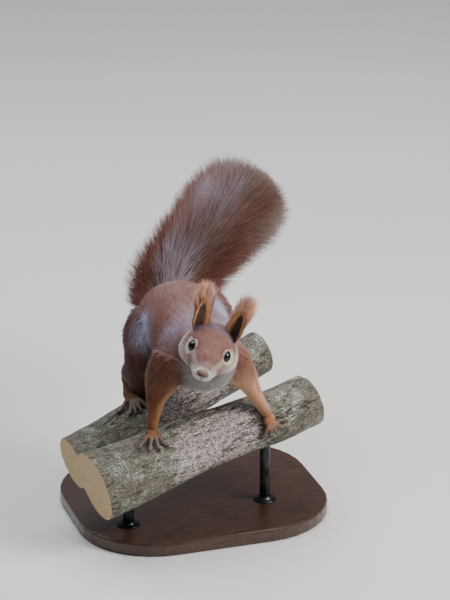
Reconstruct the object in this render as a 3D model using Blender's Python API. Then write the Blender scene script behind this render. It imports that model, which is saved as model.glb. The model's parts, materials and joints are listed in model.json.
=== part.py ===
"""Red squirrel, life size, crouched on a cut length of forked branch that a plain stand holds up.

The animal is drawn as a few round lofts along its spine, legs, toes and tail, out to the tips of its
coat. The lofts are melted into one body, and thin cuts part that body into its named nodes.
Tables are in millimetres, in a working frame whose origin is under the right forepaw's side of the
chest: +X is the animal's left, +Y its rear, +Z up. ORIGIN moves it all to the middle of the stand's
underside.
"""

import math

import bmesh
import bpy
import numpy as np
from mathutils import Matrix, Vector

MM = 0.001

# Driving sizes, in millimetres.
GAP = 0.35  # air left by each parting cut, and between pieces that touch
STAND_BASE_SIZE = (196.0, 168.0, 10.0)
STAND_BASE_CENTRE = (14.0, 64.0)
STAND_BASE_TOP = -76.0
STAND_BASE_CORNER = 60.0
STAND_ROD_RADIUS = 4.0
STAND_ROD_FEET = {"stand_rod_left": (62.0, 33.0), "stand_rod_right": (-50.0, 22.0)}
EYE_RADIUS = 4.8
EYE_CENTRE = (11.3, -1.2, 0.9)  # in the head's frame, of the left eye
STAND_ROD_LENGTH = 50.0  # before the branch is cut out of it
STAND_RIM = 1.5
# Each melted body: size of its voxels, rounds of smoothing and how many triangles are kept.
BODY_MELT = (0.8, 5, 2400)
PAW_MELT = (0.5, 3, 340)
PERCH_MELT = (1.6, 6, 760)
LIMB_ROWS = 60  # how finely a limb's middle line is read
CRUMB_CORNERS = 10  # smaller bodies that a cut leaves are dropped
SHARP_ANGLE = 40.0
LEFT, RIGHT = 1, -1
SIDE_NAMES = {LEFT: "left", RIGHT: "right"}

ORIGIN = Vector(
    (STAND_BASE_CENTRE[0], STAND_BASE_CENTRE[1], STAND_BASE_TOP - STAND_BASE_SIZE[2])
)

# Each station is x, y, z of the middle, then half width, half height above and half height below.
TRUNK = (
    (14, 125, 50, 7, 7, 7),
    (13, 119, 50, 20, 20, 20),
    (12, 106, 52, 29, 28, 27),
    (11, 88, 57, 34, 31, 32),
    (9, 68, 61, 34, 32, 33),
    (7, 48, 61, 32, 31, 31),
    (5, 28, 58, 30, 28, 27),
    (4, 11, 56, 28, 25, 24),
    (4, -2, 57, 23, 22, 20),
    (3, -10, 60, 14, 14, 12),
)
NECK = (
    (4, 24, 60, 20, 21, 20),
    (4, 12, 65, 21, 21, 20),
    (4, 0, 69, 20, 19, 19),
    (3, -10, 71, 17, 16, 16),
)
# In the head's frame: +X the animal's left, +Y the back of the head, +Z the crown, origin mid-eye.
HEAD = (
    (0, -25.2, -6.4, 2.6, 2.2, 2.6),
    (0, -23.8, -6.8, 5.8, 4.2, 4.8),
    (0, -20.4, -7.2, 8.4, 6.8, 6.2),
    (0, -16.0, -7.4, 10.2, 9.4, 7.2),
    (0, -10.0, -7.0, 13.4, 12.8, 8.6),
    (0, -3.5, -7.0, 18.0, 16.2, 10.2),
    (0, 3.5, -7.0, 21.4, 18.6, 11.4),
    (0, 11.0, -7.0, 22.0, 19.6, 12.6),
    (0, 18.0, -6.4, 19.8, 19.0, 13.2),
    (0, 25.0, -6.0, 16.0, 16.0, 12.6),
    (0, 31.0, -6.0, 10.0, 10.0, 9.0),
)
HEAD_CENTRE = (0.3, -21.3, 75.0)
HEAD_YAW, HEAD_PITCH, HEAD_ROLL = -26.0, 9.0, 17.8

# Ears, in the head's frame, for the left one: base, tip of the shell and tip of the hair tuft.
EAR_BASE = (12.4, 15.0, 7.0)
EAR_TIP = (14.2, 19.0, 28.5)
EAR_TUFT_TIP = (14.4, 21.5, 46.0)
EAR_HALF_WIDTH = 7.0
EAR_CUT = (0.22, 11.0)  # share of the way up, and radius of the cut
# Up the shell, then up the tuft: share of the way, half width over EAR_HALF_WIDTH, half thickness.
EAR_SHELL = ((0.0, 0.8, 4.2), (0.3, 1.0, 3.8), (0.65, 0.95, 3.0), (1.0, 0.72, 2.6))
EAR_TUFT = ((0.55, 0.6, 2.4), (1.0, 0.34, 1.4))
EAR_OPENING_TURN = 38.0  # how far the ear's hollow faces outwards from straight ahead

# Tail: middle line of the bone with the plume's half width and half thickness.
TAIL = (
    (12, 110, 50, 17, 14, 14),
    (12, 120, 53, 31, 19, 19),
    (17, 130, 63, 38, 23, 23),
    (31, 143, 79, 38, 26, 26),
    (53, 156, 95, 38, 28, 28),
    (75, 172, 105.5, 41, 29, 29),
    (96, 191, 113, 41, 27, 27),
    (112, 207, 115, 33, 21, 21),
    (122, 218, 116.5, 14, 9, 9),
)
TAIL_WIDE_AXIS = (-0.65, 0.30, 0.45)

# Legs: stations along each limb from the trunk to the wrist or heel, then the paw.
FORELEGS = {
    RIGHT: (
        (-17, 14, 60, 14, 16, 16),
        (-22, 13, 50, 14.5, 16, 16),
        (-26, 16, 38, 12, 14, 14),
        (-29, 17, 26, 8.6, 9.6, 9.6),
        (-31, 15, 16, 6.4, 6.8, 6.8),
        (-33, 13, 8, 5.4, 5.6, 5.6),
        (-34, 11, 4, 4.4, 4.4, 4.4),
    ),
    LEFT: (
        (20, 14, 60, 14, 16, 16),
        (29, 14, 50, 14.5, 15, 15),
        (38, 16, 38, 11.5, 12.5, 12.5),
        (45, 16, 26, 8.4, 9.2, 9.2),
        (50, 14, 16, 6.4, 6.8, 6.8),
        (54, 11, 9, 5.4, 5.6, 5.6),
        (56, 9, 5, 4.4, 4.4, 4.4),
    ),
}
THIGHS = {
    RIGHT: (
        (-12, 96, 60, 12, 17, 17),
        (-18, 87, 54, 16, 25, 25),
        (-22, 77, 43, 15, 25, 25),
        (-25, 69, 29, 14, 20, 20),
        (-27, 66, 17, 11, 14, 14),
        (-27.5, 65, 11, 7, 9, 9),
    ),
    LEFT: (
        (28, 96, 62, 14, 18, 17),
        (34, 86, 60, 18, 24, 24),
        (37, 78, 50, 16, 23, 23),
        (36, 75, 40, 13, 18, 18),
        (34, 74, 33, 9, 12, 12),
        (34, 73.5, 28, 6, 8, 8),
    ),
}
SHANKS = {
    RIGHT: (
        (-28, 62, 27, 9, 10, 10),
        (-29, 75, 23, 9, 12, 9),
        (-29, 87, 18, 8, 11, 6.8),
        (-29, 93, 14, 5.2, 6, 5.2),
    ),
    LEFT: (
        (34, 70, 42, 9, 10, 10),
        (34, 84, 37, 9, 12, 9),
        (34, 97, 33, 8, 11, 6.8),
        (34, 103, 30, 5.2, 6, 5.2),
    ),
}
# Soles of the hind feet, from heel to ball.
HIND_SOLES = {
    RIGHT: (
        (-29.5, 94, 12, 4.4, 4.2, 4.2),
        (-30.5, 84, 11.5, 5.0, 4.0, 4.0),
        (-32.5, 74, 10.5, 5.6, 3.8, 3.8),
        (-34, 64, 9.6, 6.2, 3.4, 3.4),
        (-34, 59, 8.6, 5.2, 2.6, 2.6),
    ),
    LEFT: (
        (34, 106, 28, 4.4, 4.2, 4.2),
        (34, 96, 28.5, 5.0, 4.0, 4.0),
        (33, 86, 28.5, 5.6, 3.8, 3.8),
        (32, 77, 27.5, 6.2, 3.4, 3.4),
        (32, 72, 26.4, 5.2, 2.6, 2.6),
    ),
}
# Middle of each palm or ball, the way its toes point, and the spread of the toes in degrees.
FOREPAWS = {
    RIGHT: ((-35.0, 9.0, 3.0), (-0.10, -1.0, -0.25), (-44, -14, 12, 36)),
    LEFT: ((57.5, 7.5, 2.0), (0.22, -0.55, -0.85), (-30, -8, 14, 40)),
}
HINDPAWS = {
    RIGHT: ((-34.5, 60.0, 8.6), (-0.05, -1.0, -0.10), (-52, -20, -4, 12, 32)),
    LEFT: ((32.0, 73.0, 26.4), (0.05, -1.0, -0.10), (-32, -12, 4, 20, 52)),
}
FORE_TOE = {"length": 15.0, "reach": 2.0, "radius": 1.4, "arch": 2.2}
HIND_TOE = {"length": 14.5, "reach": 3.0, "radius": 1.6, "arch": 2.4}
# Shares of a toe's reach at its root, knuckle and joint, and its thickness there and at the tip.
TOE_PLACES = (0.3, 0.42, 0.74)
TOE_SIZES = (1.15, 1.1, 1.0, 0.8)
JOINT_LIFT = 0.9
CLAW_LENGTH = 4.6
CLAW_RADIUS = 0.85
CLAW_SIZES = (1.3, 1.0, 0.5)
PALM_HEIGHT = 0.85  # of its own half height, over the bark

# Perch: middle line and radius of the two limbs of the fork.
FRONT_LIMB = (
    (-92, 2, -34, 27),
    (-60, 8, -29, 25.5),
    (-35, 13, -24.5, 24),
    (0, 21, -17, 22),
    (35, 27, -11.5, 21),
    (64, 32, -8, 20.5),
    (104, 41, 0, 20),
)
BACK_LIMB = (
    (-92, 38, -29, 20),
    (-60, 49, -20, 19),
    (-35, 58, -11.5, 18),
    (0, 69, -2, 17.5),
    (28, 79, 5.5, 17.5),
    (60, 90, 14, 17),
    (96, 102, 24, 16.5),
)
FORE_PALM = (4.5, 5.2, 3.3)  # half sizes of the forepaw's palm
HIND_BALL = (6.0, 5.0, 3.4)  # half sizes of the ball of the hind foot
PERCH_CUTS = (((-84, 20, -30), (-1, -0.18, -0.22)), ((92, 60, 8), (1, 0.28, 0.2)))

# Where the limbs leave the trunk: balls, each a middle and three radii.
SHOULDER_BALLS = {
    RIGHT: ((-46, 15, 32), (28, 34, 40)),
    LEFT: ((52, 15, 36), (33, 34, 38)),
}
HIP_BALLS = {
    RIGHT: ((-44, 78, 38), (31, 40, 46)),
    LEFT: ((52, 83, 47), (32, 40, 42)),
}
# Flat cuts: a middle, the way they face and a radius.
ELBOW_CUTS = {
    RIGHT: ((-27, 17, 33), (-0.25, 0.1, -1), 26),
    LEFT: ((41, 16, 33), (0.55, 0.0, -1), 26),
}
KNEE_CUTS = {
    RIGHT: ((-30, 76, 29), (0, 0.41, 0.91), 46),
    LEFT: ((34, 84, 43), (0, 0.36, 0.93), 46),
}
NOSE_CUT = ((0, -21.9, -5.2), (0, 1, -0.8), 9)  # in the head's frame
# From tail tip to head: piece to cut, new piece, the cut, a place in the new piece, finish.
SPINE_CUTS = (
    ("body", "tail_tip", ((86, 179, 106), (0.8, 0.5, 0.3), 52), (114, 197, 115), "tail"),
    ("body", "tail_middle", ((44, 153, 85), (0.68, 0.45, 0.5), 52), (66, 167, 98), "tail"),
    ("body", "tail_root", ((15, 122, 56), (0.15, 0.85, 0.45), 52), (25, 137, 70), "tail"),
    ("body", "head", ((2, -3, 66), (0.08, 0.8, -0.58), 52), (-8, -30, 72), "head"),
    ("body", "neck", ((4, 8, 60), (0.1, 0.85, -0.5), 52), (4, -8, 60), "trunk"),
)

FUR_ROUGHNESS = 0.8
FLESH_COLOURS = {
    "trunk": (0.20, 0.105, 0.075),
    "head": (0.24, 0.105, 0.06),
    "ear": (0.36, 0.13, 0.045),
    "leg": (0.34, 0.14, 0.055),
    "paw": (0.30, 0.13, 0.07),
    "tail": (0.17, 0.055, 0.035),
    "nose": (0.30, 0.16, 0.13),
}


def material(name, colour, roughness, metallic=0.0):
    """A plain Principled material."""
    made = bpy.data.materials.new(name)
    made.use_nodes = True
    shader = made.node_tree.nodes["Principled BSDF"]
    shader.inputs["Base Color"].default_value = (*colour, 1.0)
    shader.inputs["Roughness"].default_value = roughness
    shader.inputs["Metallic"].default_value = metallic
    made.diffuse_color = (*colour, 1.0)
    return made


def add_object(name, mesh, finish=None):
    """Links a mesh to the scene as an object."""
    made = bpy.data.objects.new(name, mesh)
    bpy.context.scene.collection.objects.link(made)
    if finish is not None:
        mesh.materials.append(finish)
    return made


def remove(*objects):
    """Takes helpers out of the scene."""
    for item in objects:
        bpy.data.objects.remove(item)


def smooth_rows(rows, count):
    """Rows of numbers read as points of a smooth curve: count rows evenly spaced along it."""
    rows = np.array(rows, float)
    steps = np.linalg.norm(np.diff(rows[:, :3], axis=0), axis=1)
    knots = np.concatenate([[0.0], np.cumsum(steps)])
    slopes = np.gradient(rows, knots, axis=0)
    at = np.linspace(0.0, knots[-1], count)
    span = np.clip(np.searchsorted(knots, at, side="right") - 1, 0, len(knots) - 2)
    width = (knots[span + 1] - knots[span])[:, None]
    t = ((at - knots[span]) / width[:, 0])[:, None]
    start, end = rows[span], rows[span + 1]
    return (
        (2 * t**3 - 3 * t**2 + 1) * start
        + (t**3 - 2 * t**2 + t) * width * slopes[span]
        + (3 * t**2 - 2 * t**3) * end
        + (t**3 - t**2) * width * slopes[span + 1]
    )


def loft_mesh(name, stations, wide_axis=(1, 0, 0), rings=24, sides=20, frame=None):
    """A closed round body through stations, its width along wide_axis, optionally moved by frame."""
    rows = smooth_rows(stations, rings)
    wide = Vector(wide_axis)
    shape = bmesh.new()
    loops = []
    last_above = Vector((0, 0, 1))
    for index, row in enumerate(rows):
        before = Vector(rows[max(index - 1, 0)][:3])
        after = Vector(rows[min(index + 1, rings - 1)][:3])
        along = (after - before).normalized()
        side = (wide - along * wide.dot(along)).normalized()
        above = side.cross(along)
        if above.dot(last_above) < 0:
            above = -above
        last_above = above
        half_width, up, down = np.maximum(row[3:6], 0.2)
        loop = []
        for step in range(sides):
            angle = 2 * math.pi * step / sides
            height = up if math.sin(angle) > 0 else down
            corner = Vector(row[:3]) + side * half_width * math.cos(angle)
            corner += above * height * math.sin(angle)
            loop.append(shape.verts.new(frame @ corner if frame else corner))
        loops.append(loop)
    for first, second in zip(loops, loops[1:]):
        for step in range(sides):
            after = (step + 1) % sides
            shape.faces.new((first[step], first[after], second[after], second[step]))
    shape.faces.new(loops[0])
    shape.faces.new(loops[-1])
    bmesh.ops.recalc_face_normals(shape, faces=shape.faces)
    mesh = bpy.data.meshes.new(name)
    shape.to_mesh(mesh)
    shape.free()
    return mesh


def ellipsoid_mesh(name, centre, radii, turn=None, segments=24, rings=16):
    """A stretched ball about centre, turned by a rotation matrix."""
    shape = bmesh.new()
    bmesh.ops.create_uvsphere(shape, u_segments=segments, v_segments=rings, radius=1.0)
    place = Matrix.Translation(Vector(centre)) @ (turn or Matrix.Identity(4))
    place = place @ Matrix.Diagonal((*radii, 1.0))
    bmesh.ops.transform(shape, matrix=place, verts=shape.verts)
    mesh = bpy.data.meshes.new(name)
    shape.to_mesh(mesh)
    shape.free()
    return mesh


def turned_to(direction):
    """A rotation that lays local Z along direction."""
    return Vector(direction).to_track_quat("Z", "Y").to_matrix().to_4x4()


def disc_mesh(name, centre, normal, radius, thickness=GAP, sides=24):
    """A thin round cutter."""
    shape = bmesh.new()
    bmesh.ops.create_cone(
        shape, cap_ends=True, segments=sides, radius1=radius, radius2=radius, depth=thickness
    )
    place = Matrix.Translation(Vector(centre)) @ turned_to(normal)
    bmesh.ops.transform(shape, matrix=place, verts=shape.verts)
    mesh = bpy.data.meshes.new(name)
    shape.to_mesh(mesh)
    shape.free()
    return mesh


def shell_mesh(name, centre, radii, turn=None):
    """A thin ball-shaped cutter: an outer ball, and an inner one that faces inwards."""
    shape = bmesh.new()
    for growth, flip in ((GAP, False), (0.0, True)):
        ball = ellipsoid_mesh(name, centre, [r + growth for r in radii], turn, 24, 14)
        if flip:
            ball.flip_normals()
        shape.from_mesh(ball)
        bpy.data.meshes.remove(ball)
    mesh = bpy.data.meshes.new(name)
    shape.to_mesh(mesh)
    shape.free()
    return mesh


def joined(name, meshes):
    """Several meshes as one object."""
    shape = bmesh.new()
    for mesh in meshes:
        shape.from_mesh(mesh)
        bpy.data.meshes.remove(mesh)
    mesh = bpy.data.meshes.new(name)
    shape.to_mesh(mesh)
    shape.free()
    return add_object(name, mesh)


def apply_modifiers(item):
    """Replaces an object's mesh by what its modifiers make of it."""
    graph = bpy.context.evaluated_depsgraph_get()
    made = bpy.data.meshes.new_from_object(item.evaluated_get(graph))
    item.modifiers.clear()
    item.data = made


def melt(item, voxel, smoothing, triangles):
    """Makes overlapping shapes one smooth closed surface of about that many triangles."""
    remesh = item.modifiers.new("melt", "REMESH")
    remesh.mode = "VOXEL"
    remesh.voxel_size = voxel
    relax = item.modifiers.new("relax", "SMOOTH")
    relax.factor = 0.5
    relax.iterations = smoothing
    apply_modifiers(item)
    corners = sum(len(face.vertices) - 2 for face in item.data.polygons)
    thin = item.modifiers.new("thin", "DECIMATE")
    thin.ratio = triangles / corners
    thin.use_collapse_triangulate = True
    apply_modifiers(item)


def cut_away(item, cutters):
    """Takes each cutter's solid out of item, then removes the cutters."""
    for cutter in cutters:
        cut = item.modifiers.new(cutter.name, "BOOLEAN")
        cut.operation = "DIFFERENCE"
        cut.object = cutter
    apply_modifiers(item)
    remove(*cutters)


def head_frame():
    """Where the head's own frame lies in the working frame."""
    yaw = Matrix.Rotation(math.radians(HEAD_YAW), 4, "Z")
    pitch = Matrix.Rotation(math.radians(HEAD_PITCH), 4, "X")
    roll = Matrix.Rotation(math.radians(HEAD_ROLL), 4, "Y")
    return Matrix.Translation(Vector(HEAD_CENTRE)) @ yaw @ pitch @ roll


def mirrored(point, side):
    """A point given for the left side, on either side."""
    return Vector((point[0] * side, point[1], point[2]))


def limb_rows(limb):
    """A limb's middle line and radius, closely spaced."""
    return smooth_rows(limb, LIMB_ROWS)


def on_bark(limb, point, height):
    """The place at that height over the limb's round surface, nearest to point."""
    rows = limb_rows(limb)
    point = np.array(point, float)
    nearest = rows[np.argmin(np.linalg.norm(rows[:, :3] - point, axis=1))]
    out = point - nearest[:3]
    out /= np.linalg.norm(out)
    return Vector(nearest[:3] + out * (nearest[3] + height)), Vector(out)


def round_stations(places, radius, sizes):
    """Stations of a round loft through places, each size a share of radius."""
    return [
        (*place, radius * size, radius * size, radius * size) for place, size in zip(places, sizes)
    ]


def toe_meshes(name, limb, palm, heading, spread, toe):
    """The toes of one paw, fanned over the bark, each with its claw."""
    palm, heading = Vector(palm), Vector(heading).normalized()
    up = on_bark(limb, palm, 0.0)[1]
    meshes = []
    for index, degrees in enumerate(spread):
        way = Matrix.Rotation(math.radians(degrees), 4, up) @ heading
        radius = toe["radius"]
        reach = toe["reach"] + toe["length"]
        root = palm + way * toe["reach"] * TOE_PLACES[0]
        knuckle = on_bark(limb, palm + way * reach * TOE_PLACES[1], radius + toe["arch"])[0]
        joint = on_bark(limb, palm + way * reach * TOE_PLACES[2], radius + JOINT_LIFT)[0]
        tip = on_bark(limb, palm + way * reach, radius * 0.9)[0]
        stations = round_stations((root, knuckle, joint, tip), radius, TOE_SIZES)
        meshes.append(loft_mesh(f"{name}_toe_{index}", stations, rings=12, sides=10))
        claw_middle = on_bark(limb, palm + way * (reach + CLAW_LENGTH * 0.5), radius + 0.6)[0]
        claw_tip = on_bark(limb, palm + way * (reach + CLAW_LENGTH), 0.3)[0]
        claw = round_stations((tip, claw_middle, claw_tip), CLAW_RADIUS, CLAW_SIZES)
        meshes.append(loft_mesh(f"{name}_claw_{index}", claw, rings=7, sides=8))
    return meshes


def ear_meshes(side, frame):
    """One ear's shell and hair tuft as a flattened leaf."""
    base, tip, end = (mirrored(p, side) for p in (EAR_BASE, EAR_TIP, EAR_TUFT_TIP))
    wide = Matrix.Rotation(math.radians(-EAR_OPENING_TURN * side), 4, "Z") @ Vector((1, 0, 0))
    stations = [
        (*start.lerp(stop, share), EAR_HALF_WIDTH * wide_share, thick, thick)
        for start, stop, rows in ((base, tip, EAR_SHELL), (tip, end, EAR_TUFT))
        for share, wide_share, thick in rows
    ]
    return [loft_mesh("ear", stations, wide, rings=20, sides=16, frame=frame)]


def hide_meshes():
    """The lofts of the animal without its paws, overlapping where they grow from each other."""
    frame = head_frame()
    meshes = [
        loft_mesh("trunk", TRUNK, rings=40, sides=36),
        loft_mesh("neck", NECK, rings=16, sides=28),
        loft_mesh("head", HEAD, rings=40, sides=32, frame=frame),
        loft_mesh("tail", TAIL, TAIL_WIDE_AXIS, rings=40, sides=32),
    ]
    for side in (LEFT, RIGHT):
        meshes += ear_meshes(side, frame)
        for table in (FORELEGS, THIGHS, SHANKS):
            meshes.append(loft_mesh("limb", table[side], rings=24, sides=20))
    return meshes


def paw_meshes(side, limb, table, toe, palm_radii, sole=()):
    """One paw's palm, toes and claws, and a hind foot's sole."""
    palm, heading, spread = table[side]
    place, up = on_bark(limb, palm, palm_radii[2] * PALM_HEIGHT)
    meshes = [ellipsoid_mesh("palm", place, palm_radii, turned_to(up))]
    meshes += toe_meshes("paw", limb, place, heading, spread, toe)
    if sole:
        meshes.append(loft_mesh("sole", sole, rings=24, sides=20))
    return meshes


def build_perch():
    """The cut length of forked branch: two limbs melted together and sawn off at each end."""
    meshes = [
        loft_mesh("limb", [(*row[:3], row[3], row[3], row[3]) for row in limb], (0, 1, 0), 40, 28)
        for limb in (FRONT_LIMB, BACK_LIMB)
    ]
    perch = joined("perch_branch", meshes)
    melt(perch, *PERCH_MELT)
    shape = bmesh.new()
    shape.from_mesh(perch.data)
    for point, outwards in PERCH_CUTS:
        everything = list(shape.verts) + list(shape.edges) + list(shape.faces)
        cut = bmesh.ops.bisect_plane(
            shape,
            geom=everything,
            plane_co=Vector(point),
            plane_no=Vector(outwards).normalized(),
            clear_outer=True,
        )
        rim = [item for item in cut["geom_cut"] if isinstance(item, bmesh.types.BMEdge)]
        bmesh.ops.triangle_fill(shape, edges=rim, use_beauty=True)
    bmesh.ops.recalc_face_normals(shape, faces=shape.faces)
    shape.to_mesh(perch.data)
    shape.free()
    return perch


def copy_of(item):
    """Another object with the same mesh of its own."""
    return add_object(item.name + "_copy", item.data.copy())


def fattened(item, growth):
    """A copy of item grown outwards by growth, to cut its neighbours with."""
    copy = add_object(item.name + "_clearance", item.data.copy())
    push = copy.modifiers.new("grow", "DISPLACE")
    push.strength = growth
    push.mid_level = 0.0
    apply_modifiers(copy)
    return copy


def partings():
    """How the body is parted: piece to cut, new piece, thin cutter, a place in the new piece, finish."""
    frame = head_frame()
    turn = frame.to_3x3()
    rows = []
    for side, word in SIDE_NAMES.items():
        leg, arm = FORELEGS[side], f"foreleg_{word}"
        thigh = THIGHS[side]
        rows += [
            ("body", arm, shell_mesh("cut", *SHOULDER_BALLS[side]), leg[4][:3], "leg"),
            (arm, f"forearm_{word}", disc_mesh("cut", *ELBOW_CUTS[side]), leg[5][:3], "leg"),
            ("body", f"thigh_{word}", shell_mesh("cut", *HIP_BALLS[side]), thigh[3][:3], "leg"),
            (
                f"thigh_{word}",
                f"shank_{word}",
                disc_mesh("cut", *KNEE_CUTS[side]),
                SHANKS[side][3][:3],
                "leg",
            ),
        ]
        base, tip = (mirrored(point, side) for point in (EAR_BASE, EAR_TIP))
        across = disc_mesh("cut", frame @ base.lerp(tip, EAR_CUT[0]), turn @ (tip - base), EAR_CUT[1])
        rows.append(("body", f"ear_{word}", across, frame @ base.lerp(tip, 0.9), "ear"))
    nose = disc_mesh("cut", frame @ Vector(NOSE_CUT[0]), turn @ Vector(NOSE_CUT[1]), NOSE_CUT[2])
    rows.append(("body", "nose", nose, frame @ Vector(HEAD[0][:3]), "nose"))
    for piece, new, cut, place, finish in SPINE_CUTS:
        rows.append((piece, new, disc_mesh("cut", *cut), place, finish))
    return rows


def loose_bodies(item):
    """Splits an object into one object for each separate body, and drops the crumbs."""
    bpy.ops.object.select_all(action="DESELECT")
    item.select_set(True)
    bpy.context.view_layer.objects.active = item
    bpy.ops.object.mode_set(mode="EDIT")
    bpy.ops.mesh.separate(type="LOOSE")
    bpy.ops.object.mode_set(mode="OBJECT")
    bodies = sorted(bpy.context.selected_objects, key=lambda body: len(body.data.vertices))
    crumbs = [body for body in bodies[:-1] if len(body.data.vertices) < CRUMB_CORNERS]
    kept = [body for body in bodies if body not in crumbs]
    remove(*crumbs)
    return kept


def part_off(item, new_name, cutter, place):
    """Cuts item in two and names the body nearest to place."""
    name = item.name
    cut_away(item, [cutter])
    place = Vector(place)
    bodies = loose_bodies(item)
    bodies.sort(key=lambda body: min((corner.co - place).length for corner in body.data.vertices))
    new, rest = bodies[0], max(bodies[1:], key=lambda body: len(body.data.vertices))
    new.name = new_name
    rest.name = name
    return new, rest


def middle(item):
    """The average of an object's corners, in millimetres."""
    corners = [corner.co for corner in item.data.vertices]
    return sum(corners, Vector()) / len(corners)


def build_flesh(perch, eyes):
    """The whole animal melted into one body, fitted to the bark and the eyes, then parted."""
    body = joined("body", hide_meshes())
    melt(body, *BODY_MELT)
    sockets = [fattened(eye, GAP) for eye in eyes]
    bark = fattened(perch, GAP)
    hide = fattened(body, GAP)
    cut_away(body, [copy_of(bark), *sockets])
    finishes = {
        word: material(f"fur_{word}", colour, FUR_ROUGHNESS) for word, colour in FLESH_COLOURS.items()
    }
    pieces = {"body": body}
    finish_of = {"body": "trunk"}
    for name, new_name, cutter, place, finish in partings():
        cutter = add_object("parting", cutter)
        pieces[new_name], pieces[name] = part_off(pieces[name], new_name, cutter, place)
        finish_of[new_name] = finish
    pieces["body"].name = "trunk"
    for side, word in SIDE_NAMES.items():
        for name, meshes in (
            (f"forepaw_{word}", paw_meshes(side, FRONT_LIMB, FOREPAWS, FORE_TOE, FORE_PALM)),
            (
                f"hindfoot_{word}",
                paw_meshes(side, BACK_LIMB, HINDPAWS, HIND_TOE, HIND_BALL, HIND_SOLES[side]),
            ),
        ):
            paw = joined(name, meshes)
            melt(paw, *PAW_MELT)
            cut_away(paw, [copy_of(bark), copy_of(hide)])
            keep_largest(paw)
            pieces[name] = bpy.data.objects[name]
            finish_of[name] = "paw"
    remove(bark, hide)
    for name, item in pieces.items():
        item.data.materials.clear()
        item.data.materials.append(finishes[finish_of[name]])


def keep_largest(item):
    """Drops all but the largest body of an object."""
    name = item.name
    bodies = loose_bodies(item)
    remove(*bodies[:-1])
    bodies[-1].name = name


def build_eyes():
    """Both eyeballs."""
    shine = material("eye", (0.012, 0.008, 0.007), 0.08)
    frame = head_frame()
    eyes = []
    for side, word in SIDE_NAMES.items():
        centre = frame @ mirrored(EYE_CENTRE, side)
        mesh = ellipsoid_mesh(f"eye_{word}", centre, (EYE_RADIUS,) * 3, segments=16, rings=10)
        eyes.append(add_object(f"eye_{word}", mesh, shine))
    return eyes


def build_stand(perch):
    """A flat base with rounded corners and two rods that carry the branch."""
    wood = material("stand_wood", (0.05, 0.035, 0.028), 0.45)
    steel = material("stand_steel", (0.08, 0.08, 0.085), 0.35, 1.0)
    width, depth, height = STAND_BASE_SIZE
    shape = bmesh.new()
    bmesh.ops.create_cube(shape, size=1.0)
    bmesh.ops.scale(shape, vec=(width, depth, height), verts=shape.verts)
    upright = [e for e in shape.edges if abs(e.verts[0].co.z - e.verts[1].co.z) > height / 2]
    bmesh.ops.bevel(
        shape, geom=upright, offset=STAND_BASE_CORNER, segments=9, profile=0.5, affect="EDGES"
    )
    middle_height = STAND_BASE_TOP - height / 2
    bmesh.ops.translate(shape, vec=(*STAND_BASE_CENTRE, middle_height), verts=shape.verts)
    mesh = bpy.data.meshes.new("stand_base")
    shape.to_mesh(mesh)
    shape.free()
    base = add_object("stand_base", mesh, wood)
    edge = base.modifiers.new("rounded_rim", "BEVEL")
    edge.width = STAND_RIM
    edge.segments = 2
    edge.limit_method = "ANGLE"
    apply_modifiers(base)
    for name, (x, y) in STAND_ROD_FEET.items():
        bottom = STAND_BASE_TOP + GAP
        top = bottom + STAND_ROD_LENGTH
        rod = disc_mesh(name, (x, y, (bottom + top) / 2), (0, 0, 1), STAND_ROD_RADIUS, top - bottom, 24)
        item = add_object(name, rod, steel)
        cut_away(item, [fattened(perch, GAP)])
        keep_lowest(item)


def keep_lowest(item):
    """Drops what a cut left above the lowest body of an object."""
    name = item.name
    bodies = sorted(loose_bodies(item), key=lambda body: middle(body).z)
    remove(*bodies[1:])
    bodies[0].name = name


def to_metres():
    """Turns every mesh into metres about the stand's underside."""
    place = Matrix.Scale(MM, 4) @ Matrix.Translation(-ORIGIN)
    for item in bpy.context.scene.collection.objects:
        item.data.transform(place)
        item.data.set_sharp_from_angle(angle=math.radians(SHARP_ANGLE))


def main():
    """Clears the scene and builds the model."""
    for item in list(bpy.data.objects):
        bpy.data.objects.remove(item)
    perch = build_perch()
    perch.data.materials.append(material("bark", (0.32, 0.30, 0.26), 0.9))
    eyes = build_eyes()
    build_flesh(perch, eyes)
    build_stand(perch)
    to_metres()


main()
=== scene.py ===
"""Looks of a life-size red squirrel on a cut fork of branch, held by a plain display stand.

The tables are millimetres in the maker's working frame: +X the animal's left, +Y its rear, +Z up.
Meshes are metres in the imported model's frame, whose origin is the middle of the stand's underside.
"""

import itertools
import json
import logging
import math
from dataclasses import dataclass, field, fields
from enum import Enum
from typing import Callable, ClassVar, Iterable, Self, Sequence

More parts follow.
